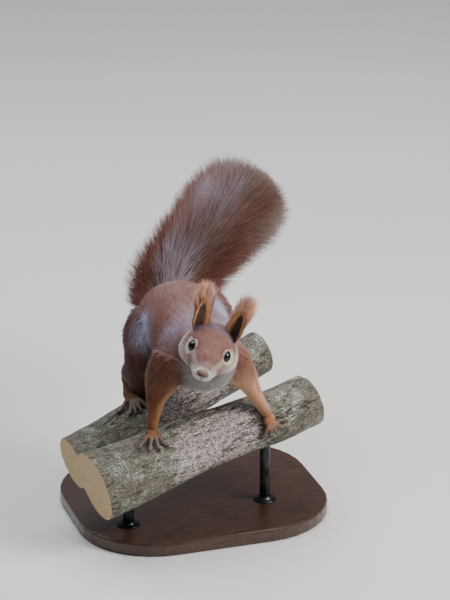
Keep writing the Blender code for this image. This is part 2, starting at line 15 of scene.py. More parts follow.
import bmesh
import bpy
import numpy as np
from mathutils import Matrix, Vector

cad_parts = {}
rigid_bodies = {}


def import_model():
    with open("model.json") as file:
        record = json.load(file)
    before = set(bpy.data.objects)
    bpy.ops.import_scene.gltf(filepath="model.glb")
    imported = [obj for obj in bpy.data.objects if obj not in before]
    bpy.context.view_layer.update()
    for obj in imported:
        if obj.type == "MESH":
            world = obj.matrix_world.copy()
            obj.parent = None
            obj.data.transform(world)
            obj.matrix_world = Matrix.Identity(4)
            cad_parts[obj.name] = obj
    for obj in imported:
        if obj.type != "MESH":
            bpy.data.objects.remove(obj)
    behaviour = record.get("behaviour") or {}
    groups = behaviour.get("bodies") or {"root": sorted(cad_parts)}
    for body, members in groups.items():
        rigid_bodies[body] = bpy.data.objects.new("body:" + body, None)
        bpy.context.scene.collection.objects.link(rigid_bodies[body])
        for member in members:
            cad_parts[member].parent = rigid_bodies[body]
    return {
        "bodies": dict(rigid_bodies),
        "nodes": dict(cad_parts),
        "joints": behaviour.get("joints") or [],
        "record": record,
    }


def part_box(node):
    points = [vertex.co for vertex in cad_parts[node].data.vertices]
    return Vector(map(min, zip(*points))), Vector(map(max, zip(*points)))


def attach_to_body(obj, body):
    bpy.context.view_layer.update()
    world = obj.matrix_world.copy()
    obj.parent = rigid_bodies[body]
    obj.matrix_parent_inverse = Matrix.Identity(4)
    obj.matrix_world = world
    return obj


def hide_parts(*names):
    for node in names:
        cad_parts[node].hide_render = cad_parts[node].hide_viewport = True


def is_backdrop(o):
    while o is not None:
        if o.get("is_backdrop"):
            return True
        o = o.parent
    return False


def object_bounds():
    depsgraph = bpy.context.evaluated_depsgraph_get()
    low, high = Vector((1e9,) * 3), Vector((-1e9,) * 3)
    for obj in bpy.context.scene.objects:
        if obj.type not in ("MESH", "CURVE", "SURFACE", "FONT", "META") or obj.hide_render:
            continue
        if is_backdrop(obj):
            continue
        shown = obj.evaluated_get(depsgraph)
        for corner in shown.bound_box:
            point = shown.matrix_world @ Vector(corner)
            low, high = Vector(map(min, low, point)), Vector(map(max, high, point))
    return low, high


Array = np.ndarray
Chance = np.random.Generator
Item = bpy.types.Object
Material = bpy.types.Material
Mesh = bpy.types.Mesh
NodeTree = bpy.types.NodeTree
Socket = bpy.types.NodeSocket
Station = tuple[float, ...]

log = logging.getLogger("squirrel")

MM = 0.001
ORIGIN = np.array((14.0, 64.0, -86.0))
SEED = 20
# The limit for one piece of coat, and the width of a strand's own patch on the OFBake map.
MOST_TRIANGLES = 190000
PATCH = 0.003
LEFT, RIGHT = 1, -1
SIDE_NAMES = {LEFT: "left", RIGHT: "right"}

# Each station is x, y, z of the middle, then half width, half height above and half height below.
TRUNK = (
    (14, 125, 50, 7, 7, 7),
    (13, 119, 50, 20, 20, 20),
    (12, 106, 52, 29, 28, 27),
    (11, 88, 57, 34, 31, 32),
    (9, 68, 61, 34, 32, 33),
    (7, 48, 61, 32, 31, 31),
    (5, 28, 58, 30, 28, 27),
    (4, 11, 56, 28, 25, 24),
    (4, -2, 57, 23, 22, 20),
    (3, -10, 60, 14, 14, 12),
)
NECK = ((4, 24, 60, 20, 21, 20), (4, 12, 65, 21, 21, 20), (4, 0, 69, 20, 19, 19), (3, -10, 71, 17, 16, 16))
# In the head's frame: +X the animal's left, +Y the back of the head, +Z the crown, origin mid-eye.
HEAD = (
    (0, -25.2, -6.4, 2.6, 2.2, 2.6),
    (0, -23.8, -6.8, 5.8, 4.2, 4.8),
    (0, -20.4, -7.2, 8.4, 6.8, 6.2),
    (0, -16.0, -7.4, 10.2, 9.4, 7.2),
    (0, -10.0, -7.0, 13.4, 12.8, 8.6),
    (0, -3.5, -7.0, 18.0, 16.2, 10.2),
    (0, 3.5, -7.0, 21.4, 18.6, 11.4),
    (0, 11.0, -7.0, 22.0, 19.6, 12.6),
    (0, 18.0, -6.4, 19.8, 19.0, 13.2),
    (0, 25.0, -6.0, 16.0, 16.0, 12.6),
    (0, 31.0, -6.0, 10.0, 10.0, 9.0),
)
HEAD_CENTRE = (0.3, -21.3, 75.0)
HEAD_YAW, HEAD_PITCH, HEAD_ROLL = -26.0, 9.0, 17.8
TAIL = (
    (12, 110, 50, 17, 14, 14),
    (12, 120, 53, 31, 19, 19),
    (17, 130, 63, 38, 23, 23),
    (31, 143, 79, 38, 26, 26),
    (53, 156, 95, 38, 28, 28),
    (75, 172, 105.5, 41, 29, 29),
    (96, 191, 113, 41, 27, 27),
    (112, 207, 115, 33, 21, 21),
    (122, 218, 116.5, 14, 9, 9),
)
TAIL_WIDE_AXIS = (-0.65, 0.30, 0.45)
TAIL_BONE_RADII = (10.0, 8.5, 6.5, 4.8, 3.8, 3.2, 2.6, 2.0, 1.0)
FORELEGS = {
    RIGHT: (
        (-17, 14, 60, 14, 16, 16),
        (-22, 13, 50, 14.5, 16, 16),
        (-26, 16, 38, 12, 14, 14),
        (-29, 17, 26, 8.6, 9.6, 9.6),
        (-31, 15, 16, 6.4, 6.8, 6.8),
        (-33, 13, 8, 5.4, 5.6, 5.6),
        (-34, 11, 4, 4.4, 4.4, 4.4),
    ),
    LEFT: (
        (20, 14, 60, 14, 16, 16),
        (29, 14, 50, 14.5, 15, 15),
        (38, 16, 38, 11.5, 12.5, 12.5),
        (45, 16, 26, 8.4, 9.2, 9.2),
        (50, 14, 16, 6.4, 6.8, 6.8),
        (54, 11, 9, 5.4, 5.6, 5.6),
        (56, 9, 5, 4.4, 4.4, 4.4),
    ),
}
THIGHS = {
    RIGHT: (
        (-12, 96, 60, 12, 17, 17),
        (-18, 87, 54, 16, 25, 25),
        (-22, 77, 43, 15, 25, 25),
        (-25, 69, 29, 14, 20, 20),
        (-27, 66, 17, 11, 14, 14),
        (-27.5, 65, 11, 7, 9, 9),
    ),
    LEFT: (
        (28, 96, 62, 14, 18, 17),
        (34, 86, 60, 18, 24, 24),
        (37, 78, 50, 16, 23, 23),
        (36, 75, 40, 13, 18, 18),
        (34, 74, 33, 9, 12, 12),
        (34, 73.5, 28, 6, 8, 8),
    ),
}
SHANKS = {
    RIGHT: (
        (-28, 62, 27, 9, 10, 10),
        (-29, 75, 23, 9, 12, 9),
        (-29, 87, 18, 8, 11, 6.8),
        (-29, 93, 14, 5.2, 6, 5.2),
    ),
    LEFT: (
        (34, 70, 42, 9, 10, 10),
        (34, 84, 37, 9, 12, 9),
        (34, 97, 33, 8, 11, 6.8),
        (34, 103, 30, 5.2, 6, 5.2),
    ),
}
HIND_SOLES = {
    RIGHT: (
        (-29.5, 94, 12, 4.4, 4.2, 4.2),
        (-30.5, 84, 11.5, 5, 4, 4),
        (-32.5, 74, 10.5, 5.6, 3.8, 3.8),
        (-34, 64, 9.6, 6.2, 3.4, 3.4),
        (-34, 59, 8.6, 5.2, 2.6, 2.6),
    ),
    LEFT: (
        (34, 106, 28, 4.4, 4.2, 4.2),
        (34, 96, 28.5, 5, 4, 4),
        (33, 86, 28.5, 5.6, 3.8, 3.8),
        (32, 77, 27.5, 6.2, 3.4, 3.4),
        (32, 72, 26.4, 5.2, 2.6, 2.6),
    ),
}
# Each paw: its palm, the way it heads, and the turn of each toe in degrees.
FOREPAWS = {
    RIGHT: ((-35, 9, 3), (-0.10, -1, -0.25), (-44, -14, 12, 36)),
    LEFT: ((57.5, 7.5, 2), (0.22, -0.55, -0.85), (-30, -8, 14, 40)),
}
HINDPAWS = {
    RIGHT: ((-34.5, 60, 8.6), (-0.05, -1, -0.10), (-52, -20, -4, 12, 32)),
    LEFT: ((32, 73, 26.4), (0.05, -1, -0.10), (-32, -12, 4, 20, 52)),
}
# Limbs of the branch: x, y, z of the middle and the radius.
FRONT_LIMB = (
    (-92, 2, -34, 27),
    (-60, 8, -29, 25.5),
    (-35, 13, -24.5, 24),
    (0, 21, -17, 22),
    (35, 27, -11.5, 21),
    (64, 32, -8, 20.5),
    (104, 41, 0, 20),
)
BACK_LIMB = (
    (-92, 38, -29, 20),
    (-60, 49, -20, 19),
    (-35, 58, -11.5, 18),
    (0, 69, -2, 17.5),
    (28, 79, 5.5, 17.5),
    (60, 90, 14, 17),
    (96, 102, 24, 16.5),
)
PERCH_CUTS = (((-84, 20, -30), (-1, -0.18, -0.22)), ((92, 60, 8), (1, 0.28, 0.2)))
EYE_RADIUS = 4.8
EYE_CENTRE = (11.3, -1.2, 0.9)
EAR_BASE = (12.4, 15.0, 7.0)
EAR_TIP = (14.2, 19.0, 28.5)
EAR_TUFT_TIP = (14.4, 21.5, 46.0)
EAR_HEIGHT = math.dist(EAR_BASE, EAR_TIP)
EAR_HALF_WIDTH = 7.0
EAR_OPENING_TURN = 38.0
FLESH_NODES = (
    "head nose neck trunk ear_left ear_right foreleg_left foreleg_right forearm_left forearm_right "
    "forepaw_left forepaw_right thigh_left thigh_right shank_left shank_right hindfoot_left "
    "hindfoot_right tail_root tail_middle tail_tip"
).split()


# --- arithmetic on arrays -------------------------------------------------------------------


def unit(vectors: Array) -> Array:
    """Vectors scaled to length one along their last axis."""
    vectors = np.asarray(vectors, float)
    return vectors / np.maximum(np.linalg.norm(vectors, axis=-1, keepdims=True), 1e-9)


def ramp(low: float, high: float, value: Array) -> Array:
    """Smooth step: 0 at low, 1 at high, and 3 t squared less 2 t cubed between them."""
    t = np.clip((np.asarray(value, float) - low) / (high - low), 0.0, 1.0)
    return t * t * (3.0 - 2.0 * t)


def mixed(first: Array | str, second: Array | str, share: Array) -> Array:
    """Two sets of colours or directions blended row by row, share of the way to the second."""
    share = np.asarray(share, float)[..., None]
    return colour(first) * (1.0 - share) + colour(second) * share


def painted(marks: Array | str, *layers: tuple[Array | str, Array]) -> Array:
    """Paints laid over marks one after another, each by its share."""
    for paint, share in layers:
        marks = mixed(marks, paint, share)
    return marks


def colour(code: Array | str) -> Array:
    """A paint's linear red, green and blue from its six-figure display code, or a colour as it is."""
    if not isinstance(code, str):
        return code
    display = np.array([int(code[i : i + 2], 16) for i in (0, 2, 4)]) / 255.0
    return np.where(display <= 0.04045, display / 12.92, ((display + 0.055) / 1.055) ** 2.4)


def lumps(points: Array, size: float, seed: int) -> Array:
    """Value noise from -1 to 1: hashed values on a cubic lattice of that size, smoothly blended."""
    cell = np.asarray(points, float) / size + seed * 17.31
    low = np.floor(cell).astype(np.int64)
    t = ramp(0.0, 1.0, cell - low)
    total = np.zeros(len(cell))
    for corner in itertools.product((0, 1), repeat=3):
        at = low + corner
        key = (at[:, 0] * 73856093) ^ (at[:, 1] * 19349663) ^ (at[:, 2] * 83492791)
        key = ((key ^ (seed * 40503)) * 2654435761) & 0xFFFFFFFF
        key = ((key ^ (key >> 15)) * 2246822519) & 0xFFFFFFFF
        value = (key ^ (key >> 13)) / 2147483648.0 - 1.0
        total += value * np.prod(np.where(corner, t, 1.0 - t), axis=1)
    return total


def flattened(vectors: Array, normals: Array) -> Array:
    """Vectors less their part along the normals."""
    return vectors - normals * np.sum(vectors * normals, axis=-1, keepdims=True)


def swept(polar: Array, turn: Array) -> Array:
    """Directions at a polar angle from Z and a turn about it."""
    flat = np.sin(polar)
    return np.stack([flat * np.cos(turn), flat * np.sin(turn), np.cos(polar) + 0 * turn], axis=-1)


def ball_angles(rings: int, sides: int) -> tuple[Array, Array]:
    """Polar angles down a ball's rings, less its poles, and the turns round its sides."""
    polar = np.linspace(0.0, math.pi, rings + 2)[1:-1, None]
    return polar, np.linspace(0.0, 2 * math.pi, sides, endpoint=False)[None]


def cell_middles(points: Array, cells: Array) -> Array:
    """For each point, the middle of all the points whose cells round down to the same one."""
    key = np.floor(cells).astype(np.int64) @ np.array((92821, 68917, 28411))
    _, lock, sizes = np.unique(key, return_inverse=True, return_counts=True)
    lock = lock.reshape(-1)
    return np.stack([np.bincount(lock, points[:, i]) for i in range(3)], axis=1)[lock] / sizes[lock, None]


def picked(rows: Iterable[Array], owner: Array) -> Array:
    """Each point's value from the row of its owner."""
    return np.stack(list(rows))[owner, np.arange(len(owner))]


def smooth_rows(rows: Sequence[Station], count: int) -> Array:
    """Count rows evenly spaced along the smooth curve (cubic Hermite) through the given rows."""
    table = np.array(rows, float)
    steps = np.linalg.norm(np.diff(table[:, :3], axis=0), axis=1)
    knots = np.concatenate([[0.0], np.cumsum(steps)])
    slopes = np.gradient(table, knots, axis=0)
    at = np.linspace(0.0, knots[-1], count)
    span = np.clip(np.searchsorted(knots, at, side="right") - 1, 0, len(knots) - 2)
    width = (knots[span + 1] - knots[span])[:, None]
    t = ((at - knots[span]) / width[:, 0])[:, None]
    start, end = table[span], table[span + 1]
    return (
        (2 * t**3 - 3 * t**2 + 1) * start
        + (t**3 - 2 * t**2 + t) * width * slopes[span]
        + (3 * t**2 - 2 * t**3) * end
        + (t**3 - t**2) * width * slopes[span + 1]
    )


def turned(axis: int, degrees: float) -> Array:
    """The 3 by 3 turn about one of the three axes."""
    c, s = math.cos(math.radians(degrees)), math.sin(math.radians(degrees))
    turn = np.eye(3)
    first, second = [(1, 2), (2, 0), (0, 1)][axis]
    turn[first, first] = turn[second, second] = c
    turn[first, second], turn[second, first] = -s, s
    return turn


def spun(vectors: Array, axis: Array, degrees: float) -> Array:
    """Vectors turned about an axis (Rodrigues' formula)."""
    axis = unit(axis)
    c, s = math.cos(math.radians(degrees)), math.sin(math.radians(degrees))
    along = np.sum(vectors * axis, axis=-1, keepdims=True) * axis
    return vectors * c + np.cross(axis, vectors) * s + along * (1 - c)


# --- surfaces -------------------------------------------------------------------------------


@dataclass
class Frame:
    """A place and turn that a piece's own coordinates are given in."""

    place: Array
    turn: Array

    def out(self, points: Array) -> Array:
        """Own coordinates as working ones."""
        return np.asarray(points, float) @ self.turn.T + self.place

    def inside(self, points: Array) -> Array:
        """Working coordinates as own ones."""
        return (np.asarray(points, float) - self.place) @ self.turn


def head_frame() -> Frame:
    """The head's frame: turned by roll, then pitch, then yaw, at the head's centre."""
    turn = turned(2, HEAD_YAW) @ turned(0, HEAD_PITCH) @ turned(1, HEAD_ROLL)
    return Frame(np.array(HEAD_CENTRE), turn)


def on_side(point: Sequence[float], side: int) -> Array:
    """A point or direction given for the left side, on either side."""
    return np.array((point[0] * side, point[1], point[2]), float)


@dataclass
class Shape:
    """A surface in working millimetres: its corners, and its faces as quads and triangles."""

    points: Array
    quads: Array = field(default_factory=lambda: np.zeros((0, 4), np.int64))
    triangles: Array = field(default_factory=lambda: np.zeros((0, 3), np.int64))

    def outward(self) -> "Shape":
        """The same closed shape with every face turned outwards if its volume came out negative."""
        corners = np.concatenate([self.quads[:, [0, 1, 2]], self.quads[:, [0, 2, 3]], self.triangles])
        middle = self.points.mean(axis=0)
        a, b, c = (self.points[corners[:, i]] - middle for i in range(3))
        if np.sum(a * np.cross(b, c)) < 0:
            return Shape(self.points, self.quads[:, ::-1], self.triangles[:, ::-1])
        return self

    def mesh(self, name: str) -> Mesh:
        """The shape as a mesh in metres in the model's frame."""
        return make_mesh(name, (self.points - ORIGIN) * MM, self.quads, self.triangles)


def read_rows(parts: Sequence, name: str, width: int = 3, kind: type = float) -> Array:
    """One property of all of a mesh's parts, a row for each."""
    values = np.empty(len(parts) * width, kind)
    parts.foreach_get(name, values)
    return values.reshape(-1, width)


def write_chart(mesh: Mesh, name: str, chart: Array) -> None:
    """Lays a mesh's points out on a UV map at their places on a chart."""
    corners = read_rows(mesh.loops, "vertex_index", 1, np.int32).ravel()
    layer = mesh.uv_layers.new(name=name)
    layer.data.foreach_set("uv", chart[corners].astype(np.float32).ravel())


def placed(name: str, data: bpy.types.ID) -> Item:
    """An object in the scene for a mesh, a lamp or a camera."""
    item = bpy.data.objects.new(name, data)
    bpy.context.scene.collection.objects.link(item)
    return item


def make_mesh(name: str, points: Array, quads: Array, triangles: Array) -> Mesh:
    """A smooth-shaded mesh from whole arrays of corners, quads and triangles."""
    mesh = bpy.data.meshes.new(name)
    corners = np.concatenate([quads.ravel(), triangles.ravel()]).astype(np.int32)
    starts = np.concatenate([np.arange(len(quads)) * 4, len(quads) * 4 + np.arange(len(triangles)) * 3])
    mesh.vertices.add(len(points))
    mesh.vertices.foreach_set("co", np.ascontiguousarray(points, np.float32).ravel())
    mesh.loops.add(len(corners))
    mesh.loops.foreach_set("vertex_index", corners)
    mesh.polygons.add(len(starts))
    mesh.polygons.foreach_set("loop_start", starts.astype(np.int32))
    mesh.update(calc_edges=True)
    mesh.shade_smooth()
    return mesh


def joined(shapes: Iterable[Shape]) -> Shape:
    """Several shapes as one, each an island of its own."""
    points, quads, triangles, count = [], [], [], 0
    for shape in shapes:
        points.append(shape.points)
        quads.append(shape.quads + count)
        triangles.append(shape.triangles + count)
        count += len(shape.points)
    return Shape(np.concatenate(points), np.concatenate(quads), np.concatenate(triangles))


def woven(grid: Array, hoop: bool = False) -> Shape:
    """A tube from a grid of rings: row i, column j joins its neighbours, and poles close the ends.

    Args:
        grid: Corners as (rings, sides, 3).
        hoop: Whether the last ring joins the first instead.

    Returns:
        The shape, facing outwards.
    """
    rings, sides = grid.shape[:2]
    index = np.arange(rings * sides).reshape(rings, sides)
    here = np.arange(rings if hoop else rings - 1)
    there, after = (here + 1) % rings, np.roll(index, -1, axis=1)
    quads = np.stack([index[here], after[here], after[there], index[there]], axis=-1).reshape(-1, 4)
    if hoop:
        return Shape(grid.reshape(-1, 3), quads).outward()
    poles = np.full((2, sides), rings * sides) + np.array([[0], [1]])
    first = np.stack([after[0], index[0], poles[0]], axis=-1)
    last = np.stack([index[-1], after[-1], poles[1]], axis=-1)
    middles = grid[[0, -1]].mean(axis=1)
    points = np.concatenate([grid.reshape(-1, 3), middles])
    return Shape(points, quads, np.concatenate([first, last])).outward()


def ball(centre: Array, turn: Array, radii: Sequence[float], rings: int, sides: int) -> Shape:
    """A stretched ball: polar angle along the rings, turn about local Z along the sides."""
    return woven((swept(*ball_angles(rings, sides)) * radii) @ np.asarray(turn).T + centre)


def facing(direction: Array) -> Array:
    """A turn whose third column is the direction."""
    ahead = unit(direction)
    spare = np.array((0.0, 1.0, 0.0)) if abs(ahead[1]) < 0.9 else np.array((1.0, 0.0, 0.0))
    first = unit(np.cross(spare, ahead))
    return np.stack([first, np.cross(ahead, first), ahead], axis=1)


def evaluated(shape: Shape, modifiers: Sequence[tuple[str, dict]]) -> tuple[Shape, Array]:
    """A shape after a stack of modifiers.

    Args:
        shape: What the modifiers work on, in working millimetres.
        modifiers: Each modifier's type and settings.

    Returns:
        The result and the normal at each of its corners.
    """
    mesh = make_mesh("working", shape.points, shape.quads, shape.triangles)
    item = placed("working", mesh)
    for kind, settings in modifiers:
        modifier = item.modifiers.new(kind.lower(), kind)
        for key, value in settings.items():
            setattr(modifier, key, value)
    made = item.evaluated_get(bpy.context.evaluated_depsgraph_get()).to_mesh()
    quads = read_rows(made.loops, "vertex_index", 1, np.int32).reshape(-1, 4).astype(np.int64)
    result = Shape(read_rows(made.vertices, "co"), quads)
    normals = read_rows(made.vertex_normals, "vector")
    bpy.data.objects.remove(item)
    bpy.data.meshes.remove(mesh)
    return result, normals


def melted(shapes: Iterable[Shape], voxel: float, rounds: int) -> tuple[Shape, Array]:
    """Overlapping shapes as one even surface of quads, relaxed a few rounds, and its normals."""
    stack = (
        ("REMESH", {"mode": "VOXEL", "voxel_size": voxel}),
        ("SMOOTH", {"factor": 0.5, "iterations": rounds}),
    )
    return evaluated(joined(shapes), stack)


def filled(shape: Shape, rounds: int, most: float) -> tuple[Shape, Array]:
    """Fills creases softly: points move out, never in, to the mean of their neighbours.

    Args:
        shape: A surface of quads.
        rounds: How many times.
        most: The furthest a point may move, in millimetres.

    Returns:
        The surface and its normals.
    """
    quads = shape.quads
    ends = np.concatenate([quads[:, [i, (i + 1) % 4]] for i in range(4)])
    count = len(shape.points)
    degree = np.bincount(ends[:, 0], minlength=count)
    points, normals = shape.points.copy(), corner_normals(shape)
    for _ in range(rounds):
        middle = np.stack(
            [np.bincount(ends[:, 0], points[ends[:, 1], i], minlength=count) for i in range(3)], axis=1
        )
        step = middle / np.maximum(degree, 1)[:, None] - points
        out = np.maximum(np.sum(step * normals, axis=1), 0.0)
        points = points + normals * out[:, None]
    moved = points - shape.points
    far = np.linalg.norm(moved, axis=1, keepdims=True)
    moved = moved * (most / np.maximum(far, most))
    result = Shape(shape.points + moved, quads)
    return result, corner_normals(result)


def corner_normals(shape: Shape) -> Array:
    """The normal at each corner of a shape."""
    mesh = make_mesh("normals", shape.points, shape.quads, shape.triangles)
    normals = read_rows(mesh.vertex_normals, "vector")
    bpy.data.meshes.remove(mesh)
    return normals


class Region(Enum):
    """Parts of the hide with markings of their own."""

    TRUNK = 0
    NECK = 1
    HEAD = 2
    TAIL = 3
    FORELEG = 4
    THIGH = 5
    SHANK = 6


@dataclass
class Tube:
    """A rounded body carried along a path: at each station an ellipse of its own.

    A corner is centre + side * half width * cos(turn) + above * height * sin(turn), where height
    is the rise over the path or the drop under it, each less the coat's depth.
    """

    region: Region
    stations: Sequence[Station]
    coat: float = 0.0
    wide: tuple[float, float, float] = (1.0, 0.0, 0.0)
    reversed_lie: bool = False
    frame: Frame | None = None
    rings: int = 48
    sides: int = 40
    side: int = LEFT

    def __post_init__(self) -> None:
        """Works out the centre, axes and radii at every ring."""
        rows = smooth_rows(self.stations, self.rings)
        centres = rows[:, :3]
        padded = np.concatenate([centres[:1], centres, centres[-1:]])
        along = unit(padded[2:] - padded[:-2])
        wide = np.array(self.wide)
        across = unit(wide - along * (along @ wide)[:, None])
        above = np.cross(across, along)
        turns = np.sign(np.sum(above[1:] * above[:-1], axis=1))
        signs = np.concatenate([[np.sign(above[0, 2]) or 1.0], turns])
        above = above * np.cumprod(signs)[:, None]
        radii = np.maximum(rows[:, 3:6], 0.2)
        depth = np.minimum(self.coat, 0.22 * radii.mean(axis=1))[:, None]
        self.radii = radii - depth
        if self.frame:
            centres = self.frame.out(centres)
            along, across, above = (axes @ self.frame.turn.T for axes in (along, across, above))
        self.centres, self.along, self.across, self.above = centres, along, across, above
        self.length = float(np.linalg.norm(np.diff(centres, axis=0), axis=1).sum())

    def grid(self) -> Array:
        """The rings' corners."""
        turn = np.linspace(0.0, 2 * math.pi, self.sides, endpoint=False)[None, :, None]
        height = np.where(np.sin(turn) > 0, self.radii[:, None, 1:2], self.radii[:, None, 2:3])
        return (
            self.centres[:, None]
            + self.across[:, None] * self.radii[:, None, :1] * np.cos(turn)
            + self.above[:, None] * height * np.sin(turn)
        )

    def shape(self) -> Shape:
        """The closed surface."""
        return woven(self.grid())

    def locate(self, points: Array) -> "Located":
        """Where points lie on the tube: how far outside, how far along, and the turn round it."""
        points = np.asarray(points, float)
        nearest = np.empty(len(points), np.int64)
        for start in range(0, len(points), 20000):
            block = points[start : start + 20000]
            squares = (
                np.sum(block**2, axis=1)[:, None]
                - 2 * block @ self.centres.T
                + np.sum(self.centres**2, axis=1)
            )
            nearest[start : start + 20000] = np.argmin(squares, axis=1)
        offset = points - self.centres[nearest]
        x = np.sum(offset * self.across[nearest], axis=1)
        z = np.sum(offset * self.above[nearest], axis=1)
        y = np.sum(offset * self.along[nearest], axis=1)
        radii = self.radii[nearest]
        height = np.where(z > 0, radii[:, 1], radii[:, 2])
        ratio = np.hypot(x / radii[:, 0], z / height)
        out = (ratio - 1.0) * np.hypot(x, z) / np.maximum(ratio, 0.05)
        out = np.where(ratio < 0.05, -np.minimum(radii[:, 0], height), out)
        past = np.maximum(np.abs(y) - self.length / self.rings, 0.0)
        outside = np.where(past > 0.3, np.hypot(np.maximum(out, 0.0), past), out)
        step = self.length / (self.rings - 1)
        station = np.clip((nearest + y / step) / (self.rings - 1), 0.0, 1.0)
        lie = self.along[nearest] * (-1.0 if self.reversed_lie else 1.0)
        return Located(outside, station, np.arctan2(z, x), lie)


@dataclass
class Located:
    """Points found on a tube, in whole arrays."""

    outside: Array
    station: Array
    turn: Array
    lie: Array


@dataclass
class Body:
    """All the tubes of the flesh, and what a place on the hide takes from them."""

    tubes: list[Tube]
    softness: float = 3.0

    def read(self, points: Array) -> "Reading":
        """How much each tube owns each point, and the lie of the coat there."""
        found = [tube.locate(points) for tube in self.tubes]
        outside = np.stack([each.outside for each in found])
        share = np.exp(-(outside - outside.min(axis=0)) / self.softness)
        share /= share.sum(axis=0)
        lie = sum(part[:, None] * each.lie for part, each in zip(share, found))
        return Reading(self, found, outside, share, unit(lie))


@dataclass
class Reading:
    """What Body.read found at many points."""

    body: Body
    found: list[Located]
    outside: Array
    share: Array
    lie: Array

    def of(self, *regions: Region, sides: Iterable[int] = (LEFT, RIGHT)) -> Array:
        """How much regions own each point together, from 0 to 1."""
        chosen = [tube.region in regions and tube.side in sides for tube in self.body.tubes]
        return np.sum(self.share[chosen], axis=0)

    def owner(self) -> Array:
        """The index of the tube that owns each point most."""
        return np.argmax(self.share, axis=0)

    def chart(self) -> Array:
        """Each point on its owner's chart: turn round the tube, and way along it, from 0 to 1."""
        owner = self.owner()
        turn = picked((each.turn for each in self.found), owner)
        station = picked((each.station for each in self.found), owner)
        return np.stack([turn / (2 * math.pi) % 1.0, station], axis=1)


def body_tubes() -> list[Tube]:
    """The flesh as tubes that grow into each other."""
    bone = [(*row[:3], radius, radius, radius) for row, radius in zip(TAIL, TAIL_BONE_RADII)]
    tubes = [
        Tube(Region.TRUNK, TRUNK, 3.4, reversed_lie=True, rings=64, sides=56),
        Tube(Region.NECK, NECK, 3.2, reversed_lie=True, rings=32),
        Tube(Region.HEAD, HEAD, 1.2, frame=head_frame(), rings=150, sides=112),
        Tube(Region.TAIL, bone, wide=TAIL_WIDE_AXIS, rings=80, sides=24),
    ]
    for side in SIDE_NAMES:
        tubes.append(Tube(Region.FORELEG, FORELEGS[side], 2.0, side=side))
        tubes.append(Tube(Region.THIGH, THIGHS[side], 3.2, side=side))
        tubes.append(Tube(Region.SHANK, SHANKS[side], 1.8, side=side))
    return tubes


# --- materials ------------------------------------------------------------------------------


@dataclass
class Tree:
    """A hand for placing nodes in one node tree."""

    tree: NodeTree

    def fill(self, node: bpy.types.Node, inputs: dict) -> None:
        """Gives inputs, by name or number, a socket to link or a plain value of their own."""
        for key, value in inputs.items():
            if isinstance(value, Socket):
                self.tree.links.new(value, node.inputs[key])
            else:
                node.inputs[key].default_value = value

    def add(self, kind: str, inputs: dict | None = None, **settings: object) -> bpy.types.Node:
        """Places a node.

        Args:
            kind: The node's type without its ShaderNode prefix.
            inputs: What its inputs hold, as fill takes them.
            settings: The node's own properties.

        Returns:
            The node.
        """
        node = self.tree.nodes.new("ShaderNode" + kind)
        for key, value in settings.items():
            setattr(node, key, value)
        self.fill(node, inputs or {})
        return node

    def place(self) -> Socket:
        """Where the point is in the model, in metres."""
        return self.add("TexCoord").outputs["Object"]

    def stored(self, name: str, kind: str = "Fac") -> Socket:
        """What the mesh stores for its points under a name."""
        return self.add("Attribute", attribute_name=name).outputs[kind]

    def stretched(self, vector: Socket, scale: Sequence[float], **more: object) -> Socket:
        """A vector scaled along its axes."""
        return self.add("Mapping", {"Vector": vector, "Scale": scale, **more}).outputs[0]

    def noise(self, vector: Socket, scale: object, detail: float = 3.0) -> Socket:
        """Fractal noise from 0 to 1."""
        return self.add("TexNoise", {"Vector": vector, "Scale": scale, "Detail": detail}).outputs[0]

    def cells(self, vector: Socket, scale: float, **settings: object) -> Socket:
        """Distances in a pattern of cells."""
        return self.add("TexVoronoi", {"Vector": vector, "Scale": scale}, **settings).outputs[0]

    def spread(
        self, value: Socket, old: tuple[float, float], new: tuple[float, float] = (0.0, 1.0)
    ) -> Socket:
        """A value carried from one range into another, and kept in it."""
        inputs = {0: value, 1: old[0], 2: old[1], 3: new[0], 4: new[1]}
        return self.add("MapRange", inputs, clamp=True).outputs[0]

    def blend(self, share: object, first: object, second: object) -> Socket:
        """Two colours mixed."""
        inputs = {0: share, 6: rgba(first), 7: rgba(second)}
        return self.add("Mix", inputs, data_type="RGBA").outputs[2]

    def lit(self, tint: Socket, value: Socket) -> Socket:
        """A colour made lighter or darker, value times."""
        return self.add("HueSaturation", {"Value": value, "Color": tint}).outputs[0]

    def maths(self, operation: str, first: object, second: object = 0.0) -> Socket:
        """One sum on two numbers."""
        return self.add("Math", {0: first, 1: second}, operation=operation).outputs[0]

    def bump(self, strength: float, depth: float, height: Socket, **settings: object) -> Socket:
        """The normal over a relief of that depth in metres."""
        inputs = {"Strength": strength, "Distance": depth, "Height": height}
        return self.add("Bump", inputs, **settings).outputs[0]

    def streaks(self, vector: Socket, fineness: float) -> Socket:
        """Long grain along Y of a vector."""
        return self.add("Group", {"Vector": vector, "Fineness": fineness}, node_tree=grain_group()).outputs[0]

    def toned(self, tint: Socket, fineness: float, amount: float) -> dict[str, Socket]:
        """A colour in uneven tone, as Base Color, and its Roughness."""
        inputs = {"Colour": tint, "Fineness": fineness, "Amount": amount}
        made = self.add("Group", inputs, node_tree=tone_group()).outputs
        return {"Base Color": made["Colour"], "Roughness": made["Roughness"]}


def rgba(value: object) -> object:
    """A paint with its alpha, or a socket as it is."""
    if isinstance(value, Socket):
        return value
    return (*[float(part) for part in colour(value)], 1.0)


